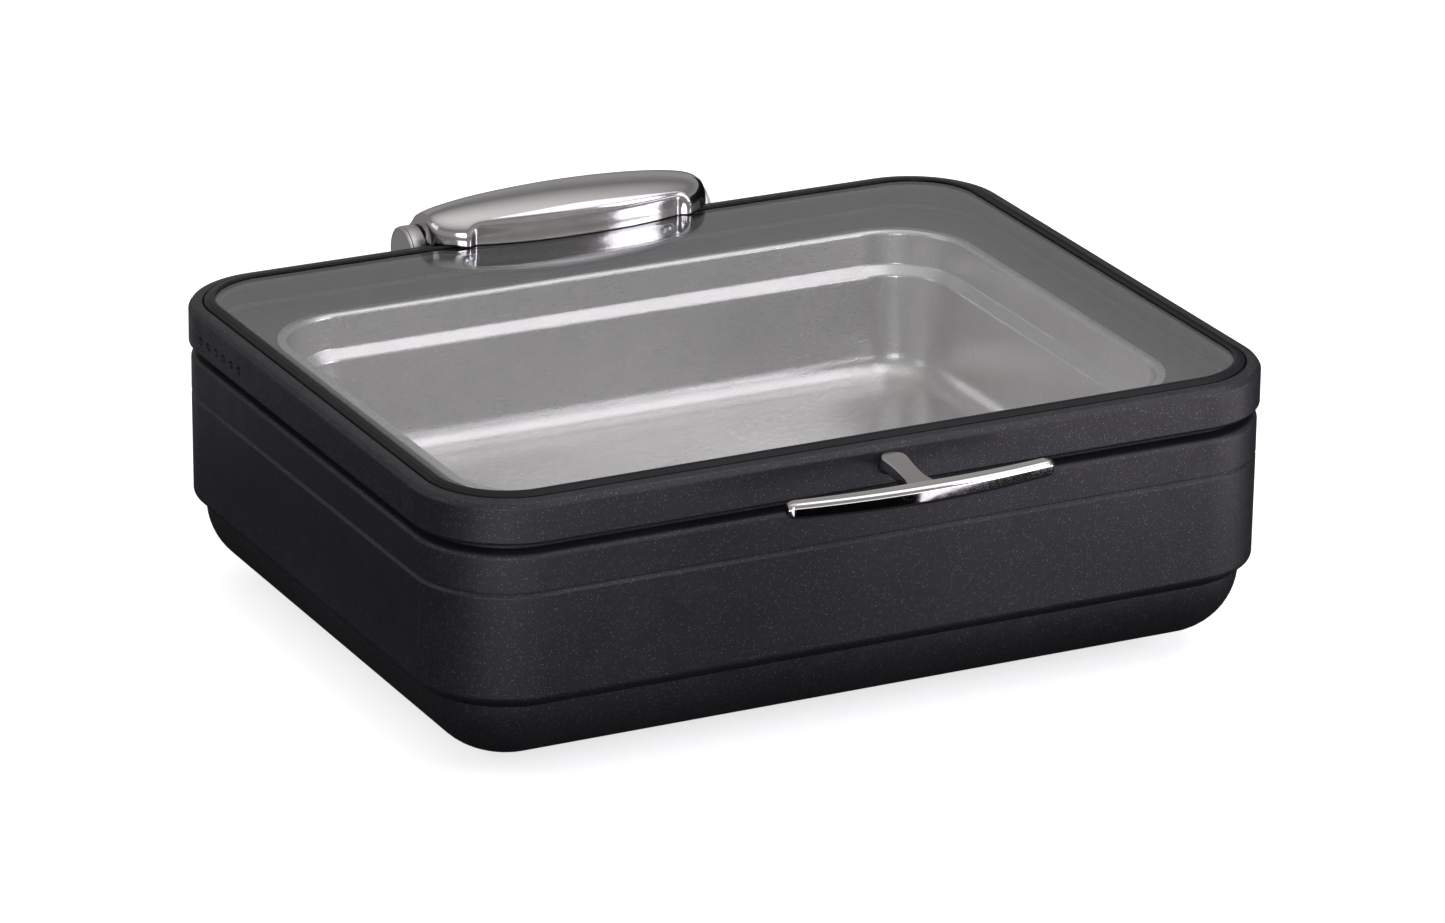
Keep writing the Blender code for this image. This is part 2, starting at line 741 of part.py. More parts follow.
def hood_section(x):
    """The hood's cross-section at a station along X, as (y, z) points round the closed outline."""
    share = abs(x) / HOOD_HALF
    taper = max(1.0 - share**6, 0.0) ** (1.0 / 6.0)
    bow = (x / 100.0) ** 2
    crest_y = HINGE_Y - 15.6
    front = crest_y - (36.0 - 11.0 * bow) * taper
    crest = HINGE_Z + BARREL_R + 0.2 + (22.8 - 7.0 * bow) * taper
    rise = crest - HOOD_UNDER
    reach = crest_y - front
    outer = [(front, HOOD_UNDER)]
    for along, up in ((0.03, 0.40), (0.10, 0.62), (0.24, 0.80), (0.46, 0.925), (0.72, 0.985), (1.0, 1.0)):
        outer.append((front + along * reach, HOOD_UNDER + up * rise))
    shoulder_y = HINGE_Y + HOOD_WRAP_OUT * math.cos(math.radians(50))
    shoulder_z = HINGE_Z + HOOD_WRAP_OUT * math.sin(math.radians(50))
    for share_back in (0.33, 0.66):
        drop = (crest - shoulder_z) * (1.0 - math.cos(math.radians(90 * share_back)))
        y = crest_y + (shoulder_y - crest_y) * math.sin(math.radians(90 * share_back)) * 0.96
        outer.append((y, crest - drop))
    for degrees in (50, 36, 22, 10):
        angle = math.radians(degrees)
        outer.append((HINGE_Y + HOOD_WRAP_OUT * math.cos(angle), HINGE_Z + HOOD_WRAP_OUT * math.sin(angle)))
    inner = []
    for degrees in (10, 26, 42, 58, 74, 90, 106, 122, 136):
        angle = math.radians(degrees)
        inner.append((HINGE_Y + HOOD_WRAP_IN * math.cos(angle), HINGE_Z + HOOD_WRAP_IN * math.sin(angle)))
    rim_edge = DEPTH / 2 - 9.4
    seat = RIM_TOP + GAP + 0.2
    back_y = max(HINGE_Y - 15.2, front + 0.4)
    step_y = max(rim_edge, front + 0.3)
    inner += [(back_y, seat + 0.6), (step_y, seat + 0.6), (step_y - 0.1, HOOD_UNDER)]
    return outer + inner


def make_hinge_hood():
    """The polished cover over the hinge, fixed to the lid's rear rim."""
    stations = []
    count = 16
    for step in range(count + 1):
        angle = math.pi * (step / count - 0.5)
        stations.append((HOOD_HALF - 0.3) * math.sin(angle))
    rings = [[(x, y, z) for y, z in hood_section(x)] for x in stations]
    return lofted("hinge_hood", rings, "polished_steel", lid_axis)


# ---------------------------------------------------------------- lid


def make_lid_frame():
    """The lid's pressed frame: skirt, rounded rim and the ledge that carries the glass."""
    profile = [
        (1.0, LID_BOTTOM),
        (0.0, LID_BOTTOM + 1.4),
        (0.0, 193.0),
        (1.2, 195.8),
        (4.0, 197.5),
        (9.8, RIM_TOP),
        (9.8, LEDGE_TOP),
        (20.0, LEDGE_TOP),
        (20.0, LEDGE_UNDER),
        (LID_WALL, LEDGE_UNDER),
        (LID_WALL, LID_BOTTOM),
    ]
    frame = outline_ring("lid_frame", profile, "powder_black", lid_axis)
    for index in range(VENT_COUNT):
        spot = (0.0, VENT_FIRST_Y + VENT_PITCH * index, VENT_Z)
        cut(frame, round_cutter(f"vent_{index}", spot, WIDTH + 20, VENT_R, "X", lid_axis, 12))
    for x, y, name in ((-75.0, 1, "hinge_left"), (75.0, 1, "hinge_right"), (0.0, -1, "handle")):
        spot = (x, y * (DEPTH / 2 - 1), HINGE_Z - 5.5 if y > 0 else HANDLE_Z)
        cut(frame, round_cutter("skirt_hole_" + name, spot, 12, 2.9, "Y", lid_axis, 12))
    return frame


def make_glass():
    """The rubber channel on the ledge and the flat glass panel that sits in it."""
    under = GLASS_TOP - GLASS_THICK
    gasket = [
        (10.2, LEDGE_TOP + GAP),
        (18.2, LEDGE_TOP + GAP),
        (18.2, under - GAP),
        (13.8, under - GAP),
        (13.8, GLASS_TOP + GAP),
        (18.0, GLASS_TOP + GAP),
        (18.0, GLASS_TOP + 1.0),
        (16.5, GLASS_TOP + 1.7),
        (11.5, GLASS_TOP + 0.2),
        (10.2, GLASS_TOP - 0.5),
    ]
    outline_ring("lid_gasket", gasket, "gasket", lid_axis)
    glass = [(14.6, under), (14.1, under + 0.5), (14.1, GLASS_TOP - 0.5), (14.6, GLASS_TOP)]
    lofted("lid_glass", [inset_ring(inset, z) for inset, z in glass], "glass", lid_axis)


def make_lid_screws():
    """Domed washers and screws that hold the hinge barrel and the handle to the skirt."""
    inner_y = DEPTH / 2 - LID_WALL
    for side, name in ((-1, "left"), (1, "right")):
        centre = (75.0 * side, inner_y - GAP, HINGE_Z - 5.5)
        washer = [(0.0, 9.0), (-1.2, 8.6), (-3.0, 5.6), (-3.0, 2.9), (0.0, 2.9)]
        turned("cup_washer_" + name, washer, centre, "Y", "polished_steel", lid_axis, 20, closed=True)
        seat = (centre[0], centre[1] - 3.0 - GAP, centre[2])
        pan_head_screw("hinge_screw_" + name, seat, "Y", 1, 5.0, 2.5, 12.0, lid_axis)
    seat = (0.0, -inner_y + GAP, HANDLE_Z)
    pan_head_screw("handle_screw", seat, "Y", -1, 5.0, 2.5, 12.0, lid_axis)


def oval(centre, half_x, half_z, sides=20, power=2.6):
    """A rounded section across Y, between an ellipse and a rectangle."""
    points = []
    for side in range(sides):
        angle = math.tau * side / sides
        cosine = math.cos(angle)
        sine = math.sin(angle)
        x = math.copysign(abs(cosine) ** (2 / power), cosine)
        z = math.copysign(abs(sine) ** (2 / power), sine)
        points.append((centre[0] + half_x * x, centre[1], centre[2] + half_z * z))
    return points


def make_handle():
    """A bowed bar on one central stem, which slopes down from the lid to meet it."""
    face = -DEPTH / 2 - GAP
    bar_back = HANDLE_END_Y - HANDLE_BOW + HANDLE_DEPTH / 2 + GAP
    stem = [
        (face, 9.0, 7.5, 1.5),
        (face - 3.0, 8.8, 6.8, 1.3),
        (face - 10.0, 8.0, 5.8, 1.0),
        (face - 20.0, 7.4, 4.6, 0.4),
        (face - 32.0, 7.3, 4.0, 0.0),
        (bar_back + 1.6, 8.2, 4.0, -0.4),
        (bar_back, 8.8, 4.0, -0.4),
    ]
    rings = [oval((0.0, y, HANDLE_Z + lift), half_x, half_z) for y, half_x, half_z, lift in stem]
    post = lofted("handle_stem", rings, "polished_steel", lid_axis)
    cut(post, round_cutter("stem_screw_hole", (0.0, face, HANDLE_Z), 24, 2.9, "Y", lid_axis, 12))

    rings = []
    count = 20
    for step in range(count + 1):
        x = HANDLE_HALF * math.sin(math.pi * (step / count - 0.5))
        share = abs(x) / HANDLE_HALF
        y = HANDLE_END_Y - HANDLE_BOW * (1.0 - share**2)
        end = max(1.0 - share**16, 0.0) ** 0.5
        depth = (HANDLE_DEPTH / 2 - 1.4 * share) * max(end, 0.35)
        height = (HANDLE_HEIGHT / 2 - 0.7 * share) * max(end, 0.35)
        ring = []
        for side in range(14):
            angle = math.tau * side / 14
            cosine = math.cos(angle)
            sine = math.sin(angle)
            across = math.copysign(abs(cosine) ** 0.75, cosine)
            up = math.copysign(abs(sine) ** 0.75, sine)
            ring.append((x, y + depth * across, HANDLE_Z - HANDLE_DROP + height * up))
        rings.append(ring)
    lofted("handle_bar", rings, "polished_steel", lid_axis)


# ---------------------------------------------------------------- assembly

clear_scene()
server = pivot("server_centre", 0.0, CENTRE_SHIFT, 0.0)
lid_axis = pivot("lid_axis", 0.0, HINGE_Y, HINGE_Z, server)
pan_lift = pivot("pan_lift", 0.0, 0.0, FOOD_RIM_TOP, server)
knob_axis = pivot("knob_axis", KNOB_X, PANEL_Y + 2.0, CONTROL_Z, server)
rocker_axis = pivot("rocker_axis", SWITCH_X, PANEL_Y + 2.0, CONTROL_Z, server)

make_base_tub()
make_upper_housing()
make_bottom()
make_deck_ring()
make_lid_bumpers()
make_water_pan()
make_food_pan()
make_heater()
make_controls()
make_switch()
make_inlet()
make_hinge_bracket()
make_hinge_pin()
make_hinge_barrel()
make_hinge_hood()
make_lid_frame()
make_glass()
make_lid_screws()
make_handle()
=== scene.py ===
"""Looks of the electric buffet server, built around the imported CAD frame.

Lengths in this file are millimetres unless a name ends in _m. Points are given from the centre of the
housing in X and Y and from the floor in Z, and become metres in the frame when a mesh is made.
"""

import json
import math

import bmesh
import bpy
from mathutils import Matrix, Vector


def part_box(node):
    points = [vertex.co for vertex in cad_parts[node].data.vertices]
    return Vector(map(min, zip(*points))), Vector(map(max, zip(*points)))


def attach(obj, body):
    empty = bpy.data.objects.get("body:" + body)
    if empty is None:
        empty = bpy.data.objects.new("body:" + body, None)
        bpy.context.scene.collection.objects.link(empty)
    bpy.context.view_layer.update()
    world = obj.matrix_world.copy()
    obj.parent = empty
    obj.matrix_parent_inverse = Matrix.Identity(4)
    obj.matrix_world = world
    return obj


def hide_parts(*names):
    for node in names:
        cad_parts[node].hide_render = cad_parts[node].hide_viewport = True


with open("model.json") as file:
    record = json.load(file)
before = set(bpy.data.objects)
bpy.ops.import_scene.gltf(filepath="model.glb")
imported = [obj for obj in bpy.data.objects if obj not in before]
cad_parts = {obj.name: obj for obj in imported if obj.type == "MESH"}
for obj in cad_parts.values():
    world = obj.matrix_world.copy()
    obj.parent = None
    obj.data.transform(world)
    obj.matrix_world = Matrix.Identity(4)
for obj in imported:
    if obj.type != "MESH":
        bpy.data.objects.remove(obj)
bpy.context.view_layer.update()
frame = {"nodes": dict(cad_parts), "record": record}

MM = 0.001


def corners_mm(node):
    """A node's lowest and highest corner in millimetres."""
    low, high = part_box(node)
    return [value / MM for value in low], [value / MM for value in high]


lid_low, lid_high = corners_mm("lid_frame")
tub_low, tub_high = corners_mm("base_tub")
housing_low, housing_high = corners_mm("upper_housing")
deck_high = corners_mm("deck_ring")[1]
pan_low, pan_high = corners_mm("food_pan")
water_low, water_high = corners_mm("water_pan")
glass_low, glass_high = corners_mm("lid_glass")
barrel_low, barrel_high = corners_mm("hinge_barrel")
bar_low, bar_high = corners_mm("handle_bar")
panel_low, panel_high = corners_mm("control_plate")
knob_low, knob_high = corners_mm("thermostat_knob")
inlet_low, inlet_high = corners_mm("power_inlet")

# Outline shared by the lid, the housing and the tub
WIDTH = lid_high[0] - lid_low[0]
DEPTH = lid_high[1] - lid_low[1]
SHIFT_Y = (lid_high[1] + lid_low[1]) / 2
CORNER = 64.4
CORNER_STEPS = 28
SIDE_STEPS = 6

# Heights
LID_BOTTOM = lid_low[2]
RIM_TOP = lid_high[2]
GLASS_TOP = glass_high[2]
GLASS_UNDER = glass_low[2]
LEDGE_TOP = GLASS_UNDER - 2.3
LEDGE_UNDER = LEDGE_TOP - 2.6
HOUSING_TOP = housing_high[2]
HOUSING_FOOT = housing_low[2]
DECK_BEAD = 3.4
DECK_TOP = deck_high[2] - DECK_BEAD
TUB_BOTTOM = tub_low[2]
SEAM_Z = tub_high[2]

# Sheet, openings and small parts of the housing and the lid
TUB_INSET = 10.3
TUB_FLOOR_INSETS = (90.0, 64.0)
TUB_SHEET = 2.0
HOUSING_SHEET = 2.2
LID_SHEET = 2.6
PAN_SHEET = 1.1
OPENING_WIDTH = 504.0
OPENING_DEPTH = 362.0
OPENING_CORNER = 54.5
ACCESS_HALF_X = 120
ACCESS_HALF_Y = 80
FOOT_X = 195
FOOT_Y = 135
BUMPER_X = 200
SCREW_HOLE_R = 2.9

# Hinge
HINGE_Y = (barrel_low[1] + barrel_high[1]) / 2 - SHIFT_Y
HINGE_Z = (barrel_low[2] + barrel_high[2]) / 2
BARREL_R = (barrel_high[2] - barrel_low[2]) / 2
BARREL_HALF = barrel_high[0]
PIN_HOLE_R = 5.3
HINGE_SCREW_X = 75.0
HINGE_SCREW_Z = HINGE_Z - 5.5
KNUCKLE_IN = 102.0
KNUCKLE_OUT = 111.5
HOOD_HALF = 104.2
HOOD_SPLIT = 100.9
CREST_Y = HINGE_Y - 15.6
HOOD_REACH = 41.0
HOOD_REACH_BOW = 11.0
HOOD_RISE = 22.6
HOOD_RISE_BOW = 7.0
SCOOP_HALF = 84.0
SCOOP_DEPTH = 6.0
SCOOP_TOP = 46.0
HOOD_UNDER = 201.3
WRAP_IN = 19.5
WRAP_OUT = 21.1
WRAP_START = 58
WRAP_END = 10

# Handle
HANDLE_DROP = 1.3
HANDLE_Z = (bar_low[2] + bar_high[2]) / 2 + HANDLE_DROP
HANDLE_HALF = bar_high[0]
HANDLE_END_Y = -280.0
HANDLE_BOW = 8.0
BAR_DEPTH = 13.0
LEAF_HALF = 8.8
LEAF_RISE = 4.8
BAR_HEIGHT = 12.0

# Vents
VENT_COUNT = 6
VENT_FIRST_Y = 101.0
VENT_PITCH = 12.6
VENT_Z = 181.0
VENT_R = 3.0

# Dial and the scale round it
DIAL_FLUTES = 18
TICK_COUNT = 9
TICK_TURN = 30
TICK_IN = 16.8
TICK_OUT = 19.6
TICK_HALF = 0.5

# Camera, from the centre of the housing at the tub's underside
VIEW_AZIMUTH = -26.88
VIEW_ELEVATION = 20.76
VIEW_ROLL = 0.70
VIEW_DISTANCE = 5046.6
VIEW_RIGHT = 3.7
VIEW_UP = 86.8
FOCAL_PIXELS = 7593.4
PICTURE_WIDTH = 1445.0
SENSOR_MM = 36.0


# ---------------------------------------------------------------- mesh helpers


def clamped(value):
    return min(max(value, 0.0), 1.0)


def eased(share):
    """A share from 0 to 1 that starts and ends gently."""
    return share * share * (3.0 - 2.0 * share)


def place(points):
    """Millimetre points about the housing's centre, as metres in the frame."""
    return [(x * MM, (y + SHIFT_Y) * MM, z * MM) for x, y, z in points]


def filleted(points, closed, steps):
    """A profile with round corners, from (a, b, radius) points."""
    count = len(points)
    out = []
    for index, (a, b, radius) in enumerate(points):
        ends = not closed and index in (0, count - 1)
        if radius <= 0 or ends:
            out.append((a, b))
            continue
        here = Vector((a, b))
        before = Vector(points[index - 1][:2]) - here
        after = Vector(points[(index + 1) % count][:2]) - here
        angle = before.angle(after)
        if angle > math.radians(178):
            out.append((a, b))
            continue
        reach = radius / math.tan(angle / 2)
        reach = min(reach, 0.48 * before.length, 0.48 * after.length)
        radius = reach * math.tan(angle / 2)
        before.normalize()
        after.normalize()
        centre = here + (before + after).normalized() * (radius / math.sin(angle / 2))
        start = (here + before * reach - centre).normalized()
        end = (here + after * reach - centre).normalized()
        for step in range(steps + 1):
            point = centre + start.slerp(end, step / steps) * radius
            out.append((point.x, point.y))
    return out


def sheet_profile(path, thickness):
    """Both faces of a sheet: the path, and the path moved to its left by the thickness."""
    left = []
    for index, point in enumerate(path):
        before = Vector(path[max(index - 1, 0)])
        after = Vector(path[min(index + 1, len(path) - 1)])
        along = (after - before).normalized()
        left.append((point[0] - along.y * thickness, point[1] + along.x * thickness))
    return path, left


def rounded_rectangle(width, depth, radius, z):
    """Points of a rounded rectangle, anticlockwise from above, with a few points along each side."""
    corners = []
    for quarter in range(4):
        centre_x = (1, -1, -1, 1)[quarter] * (width / 2 - radius)
        centre_y = (1, 1, -1, -1)[quarter] * (depth / 2 - radius)
        arc = []
        for step in range(CORNER_STEPS + 1):
            angle = math.radians(90 * (quarter + step / CORNER_STEPS))
            arc.append((centre_x + radius * math.cos(angle), centre_y + radius * math.sin(angle)))
        corners.append(arc)
    points = []
    for quarter in range(4):
        points += corners[quarter]
        start = Vector(corners[quarter][-1])
        end = Vector(corners[(quarter + 1) % 4][0])
        for step in range(1, SIDE_STEPS):
            middle = start.lerp(end, step / SIDE_STEPS)
            points.append((middle.x, middle.y))
    return [(x, y, z) for x, y in points]


def outline(inset, z):
    """The shared outline moved inwards, at a height."""
    radius = max(CORNER - inset, 6.0)
    return rounded_rectangle(WIDTH - 2 * inset, DEPTH - 2 * inset, radius, z)


def grid_faces(rows, count, closed):
    """Quads between rings of count points; closed joins the last ring to the first."""
    faces = []
    spans = rows if closed else rows - 1
    for row in range(spans):
        following = (row + 1) % rows
        for i in range(count):
            j = (i + 1) % count
            faces.append((row * count + i, row * count + j, following * count + j, following * count + i))
    return faces


def add_even_shading(obj):
    modifier = obj.modifiers.new("even_shading", "WEIGHTED_NORMAL")
    modifier.keep_sharp = True


def add_object(name, mesh_edit, finish, smooth_angle=50.0):
    """Makes a shaded object of a bmesh whose points are already in the frame."""
    bmesh.ops.remove_doubles(mesh_edit, verts=mesh_edit.verts, dist=1e-7)
    bmesh.ops.recalc_face_normals(mesh_edit, faces=mesh_edit.faces)
    mesh = bpy.data.meshes.new(name)
    mesh_edit.to_mesh(mesh)
    mesh_edit.free()
    mesh.shade_smooth()
    mesh.set_sharp_from_angle(angle=math.radians(smooth_angle))
    mesh.materials.append(finish)
    obj = bpy.data.objects.new(name, mesh)
    bpy.context.scene.collection.objects.link(obj)
    add_even_shading(obj)
    return obj


def loft(name, rings, finish, closed=False, smooth_angle=50.0):
    """Skins rings of points; an open loft is capped."""
    count = len(rings[0])
    mesh_edit = bmesh.new()
    verts = [mesh_edit.verts.new(point) for ring in rings for point in place(ring)]
    for face in grid_faces(len(rings), count, closed):
        mesh_edit.faces.new([verts[i] for i in face])
    if not closed:
        mesh_edit.faces.new(verts[:count][::-1])
        mesh_edit.faces.new(verts[-count:])
    return add_object(name, mesh_edit, finish, smooth_angle)


def outline_ring(name, profile, finish, steps=6):
    """A ring round the outline, from a closed cross-section of (inset, height, fillet) points."""
    rings = [outline(inset, z) for inset, z in filleted(profile, True, steps)]
    return loft(name, rings, finish, closed=True)


def circle(centre, radius, axis, sides):
    """Points of a circle square to an axis."""
    first, second = {"X": (1, 2), "Y": (2, 0), "Z": (0, 1)}[axis]
    points = []
    for side in range(sides):
        angle = math.tau * side / sides
        point = list(centre)
        point[first] += radius * math.cos(angle)
        point[second] += radius * math.sin(angle)
        points.append(tuple(point))
    return points


def turned(name, profile, centre, axis, finish, sides, closed=False):
    """A turned piece from (distance along the axis, radius, fillet) points."""
    index = "XYZ".index(axis)
    rings = []
    for along, radius in filleted(profile, closed, 5):
        point = list(centre)
        point[index] += along
        rings.append(circle(point, max(radius, 0.02), axis, sides))
    return loft(name, rings, finish, closed)


def block(name, low, high, finish, bevel):
    """A box between two corners with rounded edges."""
    mesh_edit = bmesh.new()
    bmesh.ops.create_cube(mesh_edit, size=1.0)
    low_m, high_m = place([low, high])
    size = [b - a for a, b in zip(low_m, high_m)]
    middle = [(a + b) / 2 for a, b in zip(low_m, high_m)]
    bmesh.ops.scale(mesh_edit, vec=size, verts=mesh_edit.verts)
    bmesh.ops.translate(mesh_edit, vec=middle, verts=mesh_edit.verts)
    if bevel:
        bmesh.ops.bevel(
            mesh_edit,
            geom=mesh_edit.edges[:],
            offset=bevel * MM,
            segments=3,
            affect="EDGES",
            profile=0.5,
        )
    return add_object(name, mesh_edit, finish)


def combine(target, other, operation="DIFFERENCE"):
    """Cuts the other object from the target, or joins it on, and removes the other."""
    while target.modifiers:
        target.modifiers.remove(target.modifiers[0])
    modifier = target.modifiers.new("combine", "BOOLEAN")
    modifier.operation = operation
    modifier.solver = "EXACT"
    modifier.object = other
    other.modifiers.clear()
    graph = bpy.context.evaluated_depsgraph_get()
    graph.update()
    made = bpy.data.meshes.new_from_object(target.evaluated_get(graph))
    target.modifiers.clear()
    target.data = made
    bpy.data.objects.remove(other, do_unlink=True)
    made.shade_smooth()
    made.set_sharp_from_angle(angle=math.radians(40))
    add_even_shading(target)
    return target


def settle(piece, body, slot, *nodes):
    """The piece rides on a body and stands for CAD nodes; slot is not used."""
    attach(piece, body)
    if nodes:
        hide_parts(*nodes)
    return piece


# ---------------------------------------------------------------- materials


def new_material(name, **sockets):
    """A Principled material; sockets are constant values by name."""
    made = bpy.data.materials.new(name)
    made.use_nodes = True
    tree = made.node_tree
    shader = tree.nodes["Principled BSDF"]
    for key, value in sockets.items():
        shader.inputs[key.replace("_", " ")].default_value = value
    return made, tree, shader


def object_coordinates(tree, scale=(1.0, 1.0, 1.0)):
    coordinates = tree.nodes.new("ShaderNodeTexCoord")
    mapping = tree.nodes.new("ShaderNodeMapping")
    mapping.inputs["Scale"].default_value = scale
    tree.links.new(coordinates.outputs["Object"], mapping.inputs["Vector"])
    return mapping.outputs["Vector"]


def noise(tree, vector, scale, detail=3.0, roughness=0.5):
    node = tree.nodes.new("ShaderNodeTexNoise")
    node.inputs["Scale"].default_value = scale
    node.inputs["Detail"].default_value = detail
    node.inputs["Roughness"].default_value = roughness
    tree.links.new(vector, node.inputs["Vector"])
    return node.outputs["Fac"]


def remap(tree, value, from_low, from_high, to_low, to_high):
    node = tree.nodes.new("ShaderNodeMapRange")
    node.inputs["From Min"].default_value = from_low
    node.inputs["From Max"].default_value = from_high
    node.inputs["To Min"].default_value = to_low
    node.inputs["To Max"].default_value = to_high
    tree.links.new(value, node.inputs["Value"])
    return node.outputs["Result"]


def spread(tree, value, to_low, to_high):
    """Spreads the middle of a noise, which is where most of it lies, over a range."""
    return remap(tree, value, 0.3, 0.7, to_low, to_high)


def mixed_colour(tree, share, first, second):
    node = tree.nodes.new("ShaderNodeMix")
    node.data_type = "RGBA"
    for socket, value in ((node.inputs[6], first), (node.inputs[7], second)):
        if isinstance(value, tuple):
            socket.default_value = (*value, 1.0)
        else:
            tree.links.new(value, socket)
    tree.links.new(share, node.inputs[0])
    return node.outputs[2]


def bump(tree, shader, height, strength, distance_m, normal=None):
    node = tree.nodes.new("ShaderNodeBump")
    node.inputs["Strength"].default_value = strength
    node.inputs["Distance"].default_value = distance_m
    tree.links.new(height, node.inputs["Height"])
    if normal is not None:
        tree.links.new(normal, node.inputs["Normal"])
    if shader is not None:
        tree.links.new(node.outputs["Normal"], shader.inputs["Normal"])
    return node.outputs["Normal"]


def powder_coat():
    """Charcoal powder coat: a fine orange peel with bright metal flakes in it."""
    made, tree, shader = new_material("powder_coat_charcoal", Specular_IOR_Level=0.42)
    where = object_coordinates(tree)
    flakes = tree.nodes.new("ShaderNodeTexVoronoi")
    flakes.inputs["Scale"].default_value = 1500.0
    tree.links.new(where, flakes.inputs["Vector"])
    chosen = tree.nodes.new("ShaderNodeSeparateColor")
    tree.links.new(flakes.outputs["Color"], chosen.inputs["Color"])
    lucky = remap(tree, chosen.outputs["Red"], 0.86, 1.0, 0.0, 1.0)
    near = remap(tree, flakes.outputs["Distance"], 0.22, 0.42, 1.0, 0.0)
    mask = tree.nodes.new("ShaderNodeMath")
    mask.operation = "MULTIPLY"
    tree.links.new(lucky, mask.inputs[0])
    tree.links.new(near, mask.inputs[1])
    cloud = noise(tree, where, 9.0, 4.0)
    ground = mixed_colour(
        tree, spread(tree, cloud, 0.0, 1.0), (0.0150, 0.0142, 0.0162), (0.0205, 0.0196, 0.0220)
    )
    colour = mixed_colour(tree, mask.outputs[0], ground, (0.34, 0.34, 0.39))
    tree.links.new(colour, shader.inputs["Base Color"])
    metallic = remap(tree, mask.outputs[0], 0.0, 1.0, 0.0, 0.85)
    tree.links.new(metallic, shader.inputs["Metallic"])
    peel = noise(tree, where, 520.0, 2.0)
    rough = spread(tree, noise(tree, where, 60.0, 3.0), 0.43, 0.53)
    tree.links.new(rough, shader.inputs["Roughness"])
    tilt = bump(tree, None, chosen.outputs["Green"], 0.10, 0.00008)
    bump(tree, shader, peel, 0.30, 0.00022, tilt)
    return made


def metal(name, colour, rough_low, rough_high, grain=(1, 1, 1), grain_scale=600.0, depth_m=0.000015):
    """Bare metal with a directional grain and cloudy changes of colour."""
    made, tree, shader = new_material(name, Metallic=1.0)
    where = object_coordinates(tree, grain)
    fine = noise(tree, where, grain_scale, 3.0, 0.6)
    cloud = noise(tree, object_coordinates(tree), 14.0, 4.0, 0.6)
    blend = mixed_colour(
        tree,
        spread(tree, cloud, 0.0, 1.0),
        tuple(0.93 * c for c in colour),
        tuple(min(1.05 * c, 1.0) for c in colour),
    )
    tree.links.new(blend, shader.inputs["Base Color"])
    streak = spread(tree, fine, rough_low, rough_high)
    tree.links.new(streak, shader.inputs["Roughness"])
    bump(tree, shader, fine, 0.35, depth_m)
    return made


def soft_plastic(name, colour, rough_low, rough_high, scale, strength, **sockets):
    """Rubber or moulded plastic with a fine texture and dusty variation."""
    made, tree, shader = new_material(name, **sockets)
    where = object_coordinates(tree)
    cloud = noise(tree, where, 25.0, 4.0)
    tint = mixed_colour(
        tree,
        spread(tree, cloud, 0.0, 1.0),
        tuple(0.85 * c for c in colour),
        tuple(1.15 * c for c in colour),
    )
    tree.links.new(tint, shader.inputs["Base Color"])
    grain = noise(tree, where, scale, 2.0)
    tree.links.new(spread(tree, grain, rough_low, rough_high), shader.inputs["Roughness"])
    bump(tree, shader, grain, strength, 0.00006)
    return made


def clear_glass():
    """Tempered glass that lets lamps through, with the faintest smears."""
    made, tree, shader = new_material(
        "lid_glass_clear", Transmission_Weight=1.0, IOR=1.5, Base_Color=(0.955, 0.965, 0.965, 1.0)
    )
    smear = noise(tree, object_coordinates(tree, (1.0, 2.2, 1.0)), 7.0, 5.0, 0.6)
    tree.links.new(remap(tree, smear, 0.45, 0.75, 0.0, 0.02), shader.inputs["Roughness"])
    output = tree.nodes["Material Output"]
    clear = tree.nodes.new("ShaderNodeBsdfTransparent")
    clear.inputs["Color"].default_value = (0.90, 0.92, 0.92, 1.0)
    path = tree.nodes.new("ShaderNodeLightPath")
    mix = tree.nodes.new("ShaderNodeMixShader")
    tree.links.new(path.outputs["Is Shadow Ray"], mix.inputs["Fac"])
    tree.links.new(shader.outputs["BSDF"], mix.inputs[1])
    tree.links.new(clear.outputs["BSDF"], mix.inputs[2])
    tree.links.new(mix.outputs["Shader"], output.inputs["Surface"])
    return made


POWDER = powder_coat()
GASKET = soft_plastic(
    "gasket_silicone", (0.0125, 0.0120, 0.0132), 0.30, 0.42, 300.0, 0.10, Specular_IOR_Level=0.16
)
RUBBER = soft_plastic("foot_rubber", (0.018, 0.018, 0.019), 0.60, 0.78, 900.0, 0.5)
PLASTIC = soft_plastic("moulded_black", (0.020, 0.020, 0.022), 0.36, 0.52, 1400.0, 0.45)
AMBER = soft_plastic("lamp_amber", (0.85, 0.30, 0.03), 0.10, 0.16, 40.0, 0.05, Transmission_Weight=0.4)
WHITE_PRINT = soft_plastic("dial_print", (0.62, 0.62, 0.60), 0.45, 0.6, 900.0, 0.1)
FELT = soft_plastic("mineral_felt", (0.62, 0.60, 0.52), 0.85, 1.0, 700.0, 1.0, Sheen_Weight=0.3)
WASHER_STEEL = metal("washer_steel", (0.86, 0.86, 0.88), 0.34, 0.42)
POLISHED = metal("steel_polished", (0.66, 0.645, 0.63), 0.045, 0.10, (1, 1, 1), 180.0, 0.000002)
HOOD_STEEL = metal("steel_hood", (0.60, 0.585, 0.575), 0.09, 0.16, (0.06, 1, 1), 900.0, 0.000004)
SATIN = metal("steel_satin", (0.60, 0.59, 0.575), 0.30, 0.40, (0.05, 1, 1), 900.0, 0.00001)
PAN_STEEL = metal("steel_pan", (0.64, 0.625, 0.605), 0.26, 0.31, (0.08, 1.0, 1.0), 2200.0, 0.000002)
ZINC = metal("steel_zinc", (0.56, 0.57, 0.60), 0.25, 0.42, (1, 1, 1), 500.0, 0.00001)
DARK_STEEL = metal("steel_blued", (0.16, 0.15, 0.15), 0.35, 0.5, (1, 1, 1), 500.0, 0.00001)
